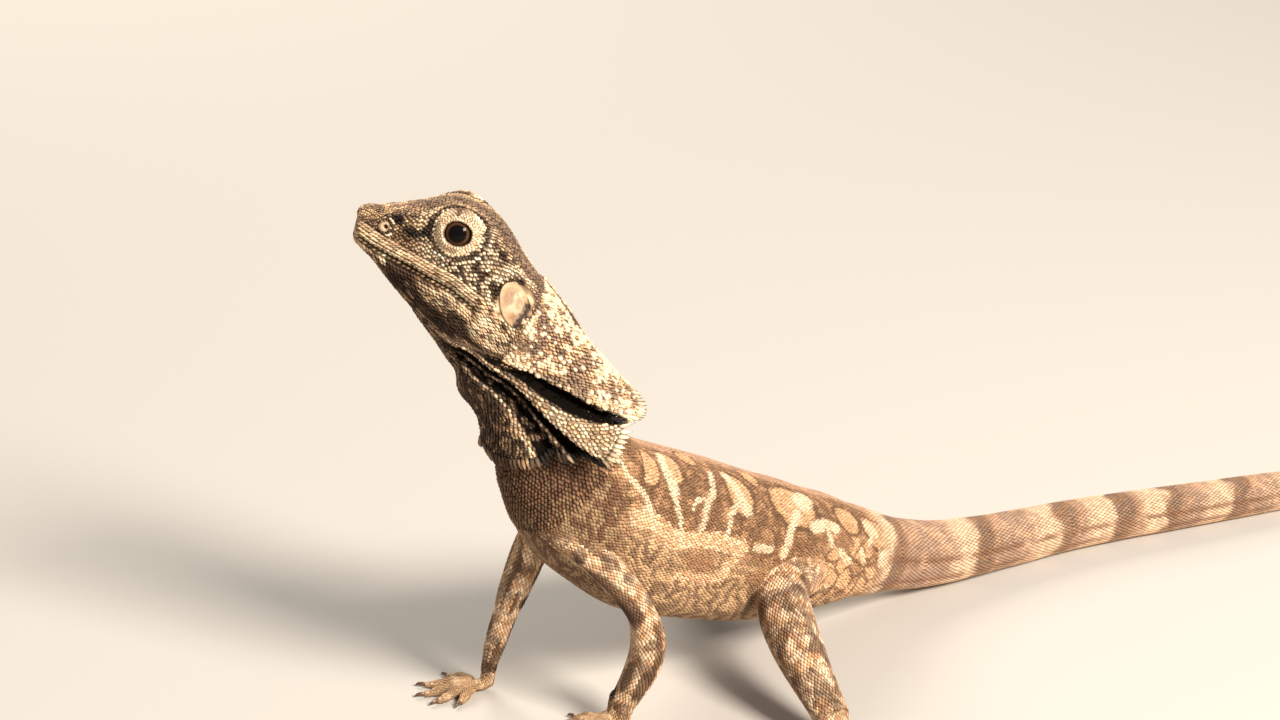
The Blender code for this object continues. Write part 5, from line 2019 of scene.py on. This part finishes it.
@dataclass
class Coat:
    """The scales of head, neck, trunk and tail."""

    lip_band: Pair = (2.4, 1.7)  # free for the lips' own rows
    eye_room: float = 3.08
    nostril_room: float = 0.62

    def stretch(self, start: float, end: float, pitch: float | Callable, seed: int, **form) -> Scales:
        """Rows of scales on a stretch of the body."""
        rows = ScaleRows(body_skin, start, end, pitch, seed=seed, around=241, **form)
        return rows.scales(paint_body)

    def clear_of_features(self, scales: Scales) -> Scales:
        """Leaves out scales on eyes, nostrils, eardrums and the mouth's edges."""
        keep = np.ones(len(scales.roots), bool)
        for side, _ in SIDES:
            keep &= norm(scales.roots - EYE.place(side), axis=1) > self.eye_room
            hole = norm(scales.roots - NOSTRIL.place(side), axis=1)
            keep &= hole > self.nostril_room
            middle = Eardrum(side, "").place(np.zeros(1), np.zeros(1))[0]
            _, ahead, up = DRUM.axes(side)
            off = scales.roots - middle
            oval = np.hypot((off @ ahead) / DRUM_HALF[0], (off @ up) / DRUM_HALF[1])
            keep &= (oval > 0.94) | (norm(off, axis=1) > 3.0)
        return scales.picked(keep)

    def clear_of_lips(self, scales: Scales) -> Scales:
        """Leaves out scales where the lips have rows of their own."""
        at, degrees = self.where(scales)
        gap = (degrees - mouth_turn(at)) * girth_of(at)
        upper, lower = self.lip_band
        lip = (gap > -upper) & (gap < lower) & (at < Lip.ends[1] + 0.2)
        return scales.picked(~lip)

    @staticmethod
    def where(scales: Scales, start: float = 0.12, end: float = HEAD_END) -> tuple[Array, Array]:
        """Distance from the snout and degrees from the top of scales of a stretch."""
        at = start + (scales.places[:, 0] - EDGE) / (1 - 2 * EDGE) * (end - start)
        centre, left, up, _ = LINE.frames(at)
        off = scales.roots - centre
        side, rise = np.abs((off * left).sum(axis=1)), (off * up).sum(axis=1)
        return at, np.degrees(np.arctan2(side, rise))

    def head(self) -> list[Scales]:
        """Small keeled scales of crown and cheeks, long ones on jaw and throat."""
        scales = self.stretch(
            0.12, HEAD_END, lambda at: 0.36 + 0.12 * ease(1, 9, at), seed=1, jitter=0.4,
            height=0.42, width=0.88, length=1.02,
        )
        _, degrees = self.where(scales)
        low = ease(94, 108, degrees)
        scales.sizes[:, 0] *= 1 - 0.24 * low
        scales.sizes[:, 1] *= 1 + 0.75 * low
        return [self.clear_of_features(self.clear_of_lips(scales))]

    def neck(self) -> list[Scales]:
        """Scales of the neck, some of them large pale knobs."""
        scales = self.stretch(
            HEAD_END + 0.2, NECK_END, 0.54, seed=2, jitter=0.3, width=0.97, length=1.1
        )
        scales = self.clear_of_features(scales)
        _, degrees = self.where(scales, HEAD_END + 0.2, NECK_END)
        return knobbed(scales, (scales.paint.mean(axis=1) > 0.1) & (degrees < 84), 7)

    def trunk(self, start: float, end: float, seed: int) -> list[Scales]:
        """Keeled scales of the trunk."""
        return [self.stretch(start, end, 0.48, seed, height=0.18, jitter=0.36, **SOFT)]

    def tail(self, start: float, end: float, seed: int) -> list[Scales]:
        """Keeled scales of the tail, smaller towards its tip."""
        scales = self.stretch(
            start, end, lambda at: 0.58 - 0.28 * ease(120, 290, at), seed, jitter=0.08,
            length=1.35, height=0.16, row_share=0.86, **SOFT,
        )
        return [scales]


COAT_LIMIT = 11000  # scales in one piece
TRUNK_HALF, TAIL_HALF = 69.0, 175.0  # where one piece of scales ends and the next begins


def dress(name: str, kinds: Sequence[Scales], skin: Item, material: Material) -> None:
    """Makes one piece of these scales, moved onto the skin."""
    settled = [kind.settled(skin) for kind in kinds]
    count = sum(len(kind.roots) for kind in settled)
    if count > COAT_LIMIT:
        log.warning("%s has %d scales, over %d", name, count, COAT_LIMIT)
    mesh = coat_mesh(name, [kind for kind in settled if len(kind.roots)])
    piece_of(name, mesh, material)


def in_cells(kinds: Sequence[Scales]) -> list[Scales]:
    """Gives each kind its own cell of the unwrap, side by side in a square of cells."""
    side = math.ceil(math.sqrt(len(kinds)))
    for number, kind in enumerate(kinds):
        corner = np.array([number % side, number // side])
        kind.places = (corner + 0.02 + 0.96 * kind.places) / side
    return list(kinds)


@dataclass
class Skin:
    """The one skin of the whole animal, under all its scales."""

    frills: list[Frill]
    eyes: list[Eye]
    voxel: float = 0.24
    face_limit: int = 95000
    blend_rounds: int = 30
    settle_rounds: int = 6
    around: int = 176
    gap_shades: Pair = (0.22, 0.88)  # painted shade of the skin between the scales: its light on head and on body
    # painted shade of the frill's skin between its scales
    frill_shade: float = 0.45

    def body(self) -> Shell:
        """Head, neck, trunk and tail as one closed tube."""
        head, neck = np.arange(0.35, HEAD_END, 0.22), np.arange(HEAD_END, NECK_END, 0.35)
        trunk = np.arange(NECK_END, TRUNK_END, 0.5)
        tail = np.arange(TRUNK_END, LINE.length - 0.5, 0.6)
        at = np.concatenate([head, neck, trunk, tail, [LINE.length - 0.3]])
        return painted_tube(self.surface, at, self.around, self.paint)

    def surface(self, at: Array, turn: Array) -> Array:
        """The body's skin, kept off the floor."""
        return raised(body_skin(at, turn), FLOOR + 0.08)

    def paint(self, at: Array, turn: Array, spot: Array) -> Array:
        """The body's colours, darker between the scales of the head: painted shade in the gaps between
        scales, lighter on the body.
        """
        less = (ease(18, 28, at) + ease(36, 46, at)) / 2
        light = self.gap_shades[0] + np.ptp(self.gap_shades) * less
        # No painted shade round nostrils and eardrums, nor on the snout's tip.
        for side, _ in SIDES:
            for place, room in ((NOSTRIL, 0.75), (DRUM, 2.6)):
                off = norm(spot - place.place(side), axis=1)
                light = np.maximum(light, 1 - ramp(off, room, room * 1.2))
        light = np.maximum(light, 1 - ease(0.6, 1.4, at))
        return paint_body(at, turn, spot) * light[:, None]

    def smoothed(self, mesh: Mesh) -> None:
        """Evens out the skin, and rounds it where the legs leave the body.

        Each round moves a point towards the mean of its neighbours and back again,
        near the legs' roots not back.
        """
        points = points_of(mesh)
        edges = np.empty(len(mesh.edges) * 2, np.int32)
        mesh.edges.foreach_get("vertices", edges)
        a, b = edges.reshape(-1, 2).T
        count = np.bincount(a, minlength=len(points)) + np.bincount(b, minlength=len(points))

        def mean_of_neighbours() -> Array:
            """The mean of each point's neighbours."""
            total = [
                np.bincount(a, points[b, k], len(points))
                + np.bincount(b, points[a, k], len(points)) for k in range(3)
            ]
            return np.stack(total, axis=1) / np.maximum(count, 1)[:, None]

        for _ in range(self.settle_rounds):
            points += 0.5 * (mean_of_neighbours() - points)
            points -= 0.52 * (mean_of_neighbours() - points)
        near = np.full(len(points), 99.0)
        for leg in LEGS:
            hip, knee, _ = [plan_point(*j) for j in leg.joints]
            leaves = hip + (knee - hip) * LEG_LEAVES[leg.name]
            room = LEG_BLENDS[leg.name[:4]]
            near = np.minimum(near, norm(points - leaves, axis=1) / room)
        pull = 1 - ease(0.55, 1, near)[:, None]
        for _ in range(self.blend_rounds):
            points += 0.5 * pull * (mean_of_neighbours() - points)
        mesh.vertices.foreach_set("co", (points * MM).astype(np.float32).ravel())
        mesh.update()

    def nostril_cutter(self, side: int) -> Shell:
        """A short bent hole, narrower inside."""
        out, ahead, _ = NOSTRIL.axes(side)
        reach = np.linspace(0, 1, 9)[:, None]
        line = NOSTRIL.place(side) + (1.4 - 2.4 * reach) * out - 0.5 * reach**2 * ahead
        radii = 0.4 - 0.16 * reach * np.ones(2)
        hole = Tube(line, radii)
        turn = full_turn(24)
        grid = hole.points(hole.knots[:, None], turn)
        return closed_tube(grid)

    def build(self, material: Material) -> Item:
        """Joins, evens out, opens and colours the skin."""
        shells = [self.body()]
        # Legs, frill and lids get painted shade between their scales, as the body does.
        for leg in LEGS:
            shells += [part.shell().shaded(self.gap_shades[1]) for part in parts_of(leg)]
        shells += [frill.shell().shaded(self.frill_shade) for frill in self.frills]
        shells += [eye.orbit().shaded(self.gap_shades[1]) for eye in self.eyes]
        whole = Shell.joined(shells)
        pattern = link("pattern", whole.mesh("pattern"))
        raw = link("raw", pattern.data.copy())
        remesh = raw.modifiers.new("one surface", "REMESH")
        remesh.mode = "VOXEL"
        remesh.voxel_size = self.voxel * MM
        mesh = shaped(raw)
        log.info("one surface of %d faces", len(mesh.polygons))
        self.smoothed(mesh)
        holes = [eye.cutter() for eye in self.eyes]
        holes += [self.nostril_cutter(side) for side, _ in SIDES]
        opening = Shell.joined(holes)
        cutter = link("cutter", mesh_of("cutter", opening.points, opening.faces))
        item = link("skin", mesh)
        cut = item.modifiers.new("openings", "BOOLEAN")
        cut.operation, cut.solver, cut.object = "DIFFERENCE", "MANIFOLD", cutter
        thin = item.modifiers.new("fewer faces", "DECIMATE")
        thin.ratio = min(1.0, self.face_limit / max(len(mesh.polygons), 1))
        finished = shaped(item)
        discard(cutter)
        finished.name = "skin"
        finished.materials.clear()
        while finished.attributes.get("paint"):
            finished.attributes.remove(finished.attributes["paint"])
        finished.shade_smooth()
        paint = nearest_on(points_of(finished), pattern, ("paint",))["paint"]
        give_values(finished, "paint", np.clip(paint, 0, 1))
        discard(pattern)
        made = piece_of("skin", finished, material)
        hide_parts(*self.replaced())
        return made

    def replaced(self) -> list[str]:
        """The solids of flesh that the skin stands for."""
        names = ["head", "lower_jaw", "neck", "trunk", "frill_left", "frill_right"]
        names += [f"tail_{n}" for n in range(1, 5)]
        for leg in LEGS:
            names += [f"{part}_{leg.name}" for part in ("upper", "lower", "foot")]
        return names


LEG_BLENDS = {"fore": 4.2, "hind": 6.5}  # reach of the rounding there
LEG_LEAVES = {"fore_left": 0.25, "fore_right": 0.3, "hind_left": 0.34, "hind_right": 0.34}


# ---- floor, light, camera


@dataclass(frozen=True)
class Lamp:
    """A soft square light: its place, what it points at, width, power and warmth."""

    name: str
    place: Triple
    width: float
    power: float
    colour: Triple


@dataclass
class Studio:
    """A pale floor, soft lights and the camera."""

    target: Triple = (-0.06, 0.0, 0.035)
    floor_half: float = 3.0
    floor_colour: Triple = (0.5, 0.47, 0.43)
    sky: Triple = (0.93, 0.95, 1.0)
    sky_strength: float = 0.34
    lamps: tuple[Lamp, ...] = (
        Lamp("key", (-0.1, -0.62, 0.5), 0.24, 13.6, (1.0, 0.915, 0.82)),
        Lamp("rim", (0.2, 0.65, 0.55), 0.5, 6.5, (1.0, 0.92, 0.8)),
    )
    camera_place: Triple = (-0.34484, -0.23972, 0.175)
    camera_turn: Triple = (70.0, 0.0, -45.0)
    lens: float = 82.69

    def lay_floor(self) -> None:
        """A wide square of matt floor."""
        half = self.floor_half / MM
        corners = np.array([(-1, -1, 0), (1, -1, 0), (1, 1, 0), (-1, 1, 0)]) * half
        mesh = mesh_of("floor", corners.astype(float), [np.array([[0, 1, 2, 3]])])
        made, graph = new_finish("matt floor")
        graph.surface(Base_Color=(*self.floor_colour, 1.0), Roughness=0.85, Specular_IOR_Level=0.2)
        mesh.materials.append(made)
        link("floor", mesh)

    def light(self) -> None:
        """The soft lights and an even sky."""
        for lamp in self.lamps:
            data = bpy.data.lights.new(lamp.name, "AREA")
            data.size, data.energy, data.color = lamp.width, lamp.power, lamp.colour
            item = link(lamp.name, data)
            away = np.array(lamp.place) - np.array(self.target)
            item.location = lamp.place
            item.rotation_mode = "QUATERNION"
            item.rotation_quaternion = Vector(away).to_track_quat("Z", "Y")
        world = bpy.data.worlds.new("even sky")
        bpy.context.scene.world = world
        world.use_nodes = True
        graph = Graph(world.node_tree)
        sky = graph.wire("Background", "Background", Color=(*self.sky, 1.0), Strength=self.sky_strength)
        graph.node("OutputWorld", Surface=sky)

    def set_camera(self) -> None:
        """The camera, above the animal's left side and ahead of it."""
        data = bpy.data.cameras.new("camera")
        data.lens = self.lens
        data.clip_start, data.clip_end = 0.01, 20.0
        item = link("camera", data)
        item.location = self.camera_place
        item.rotation_euler = [math.radians(a) for a in self.camera_turn]
        bpy.context.scene.camera = item

    def build(self) -> None:
        """Everything round the animal."""
        bpy.context.scene.view_settings.view_transform = "Standard"
        self.lay_floor()
        self.light()
        self.set_camera()


def main() -> None:
    """Builds the animal's looks in order and reports each piece."""
    logging.basicConfig(level=logging.INFO, format="%(message)s")
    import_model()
    Studio().build()
    eyes = [Eye(side, word) for side, word in SIDES]
    frills = [Frill(side, word) for side, word in SIDES]
    skin = Skin(frills, eyes).build(SKIN.material())
    horn, drum, claw = SCALE.material(), DRUM_SKIN.material(), CLAW.material()
    for eye in eyes:
        eye.build()
    for side, word in SIDES:
        Eardrum(side, word).build(drum)
    for leg in LEGS:
        Claws(leg).build(claw)
    coat = Coat()
    faces = coat.head()
    for side, _ in SIDES:
        faces += Lip(side, -1).scales() + Lip(side, 1).scales()
    for eye in eyes:
        faces += eye.lid_scales()
    coats = {
        "head": in_cells(faces),
        "neck": in_cells(coat.neck()),
        "trunk_front": coat.trunk(NECK_END, TRUNK_HALF, 3),
        "trunk_rear": coat.trunk(TRUNK_HALF + 0.3, TRUNK_END, 4),
        "tail_near": coat.tail(TRUNK_END, TAIL_HALF, 5),
        "tail_far": coat.tail(TAIL_HALF, LINE.length - 0.8, 6),
        **{f"frill_{frill.word}": in_cells(frill.scales()) for frill in frills},
        **{leg.name: in_cells([p.scales() for p in parts_of(leg)]) for leg in LEGS},
    }
    for name, kinds in coats.items():
        dress(f"scales_{name}", kinds, skin, horn)


if __name__ == "__main__":
    main()
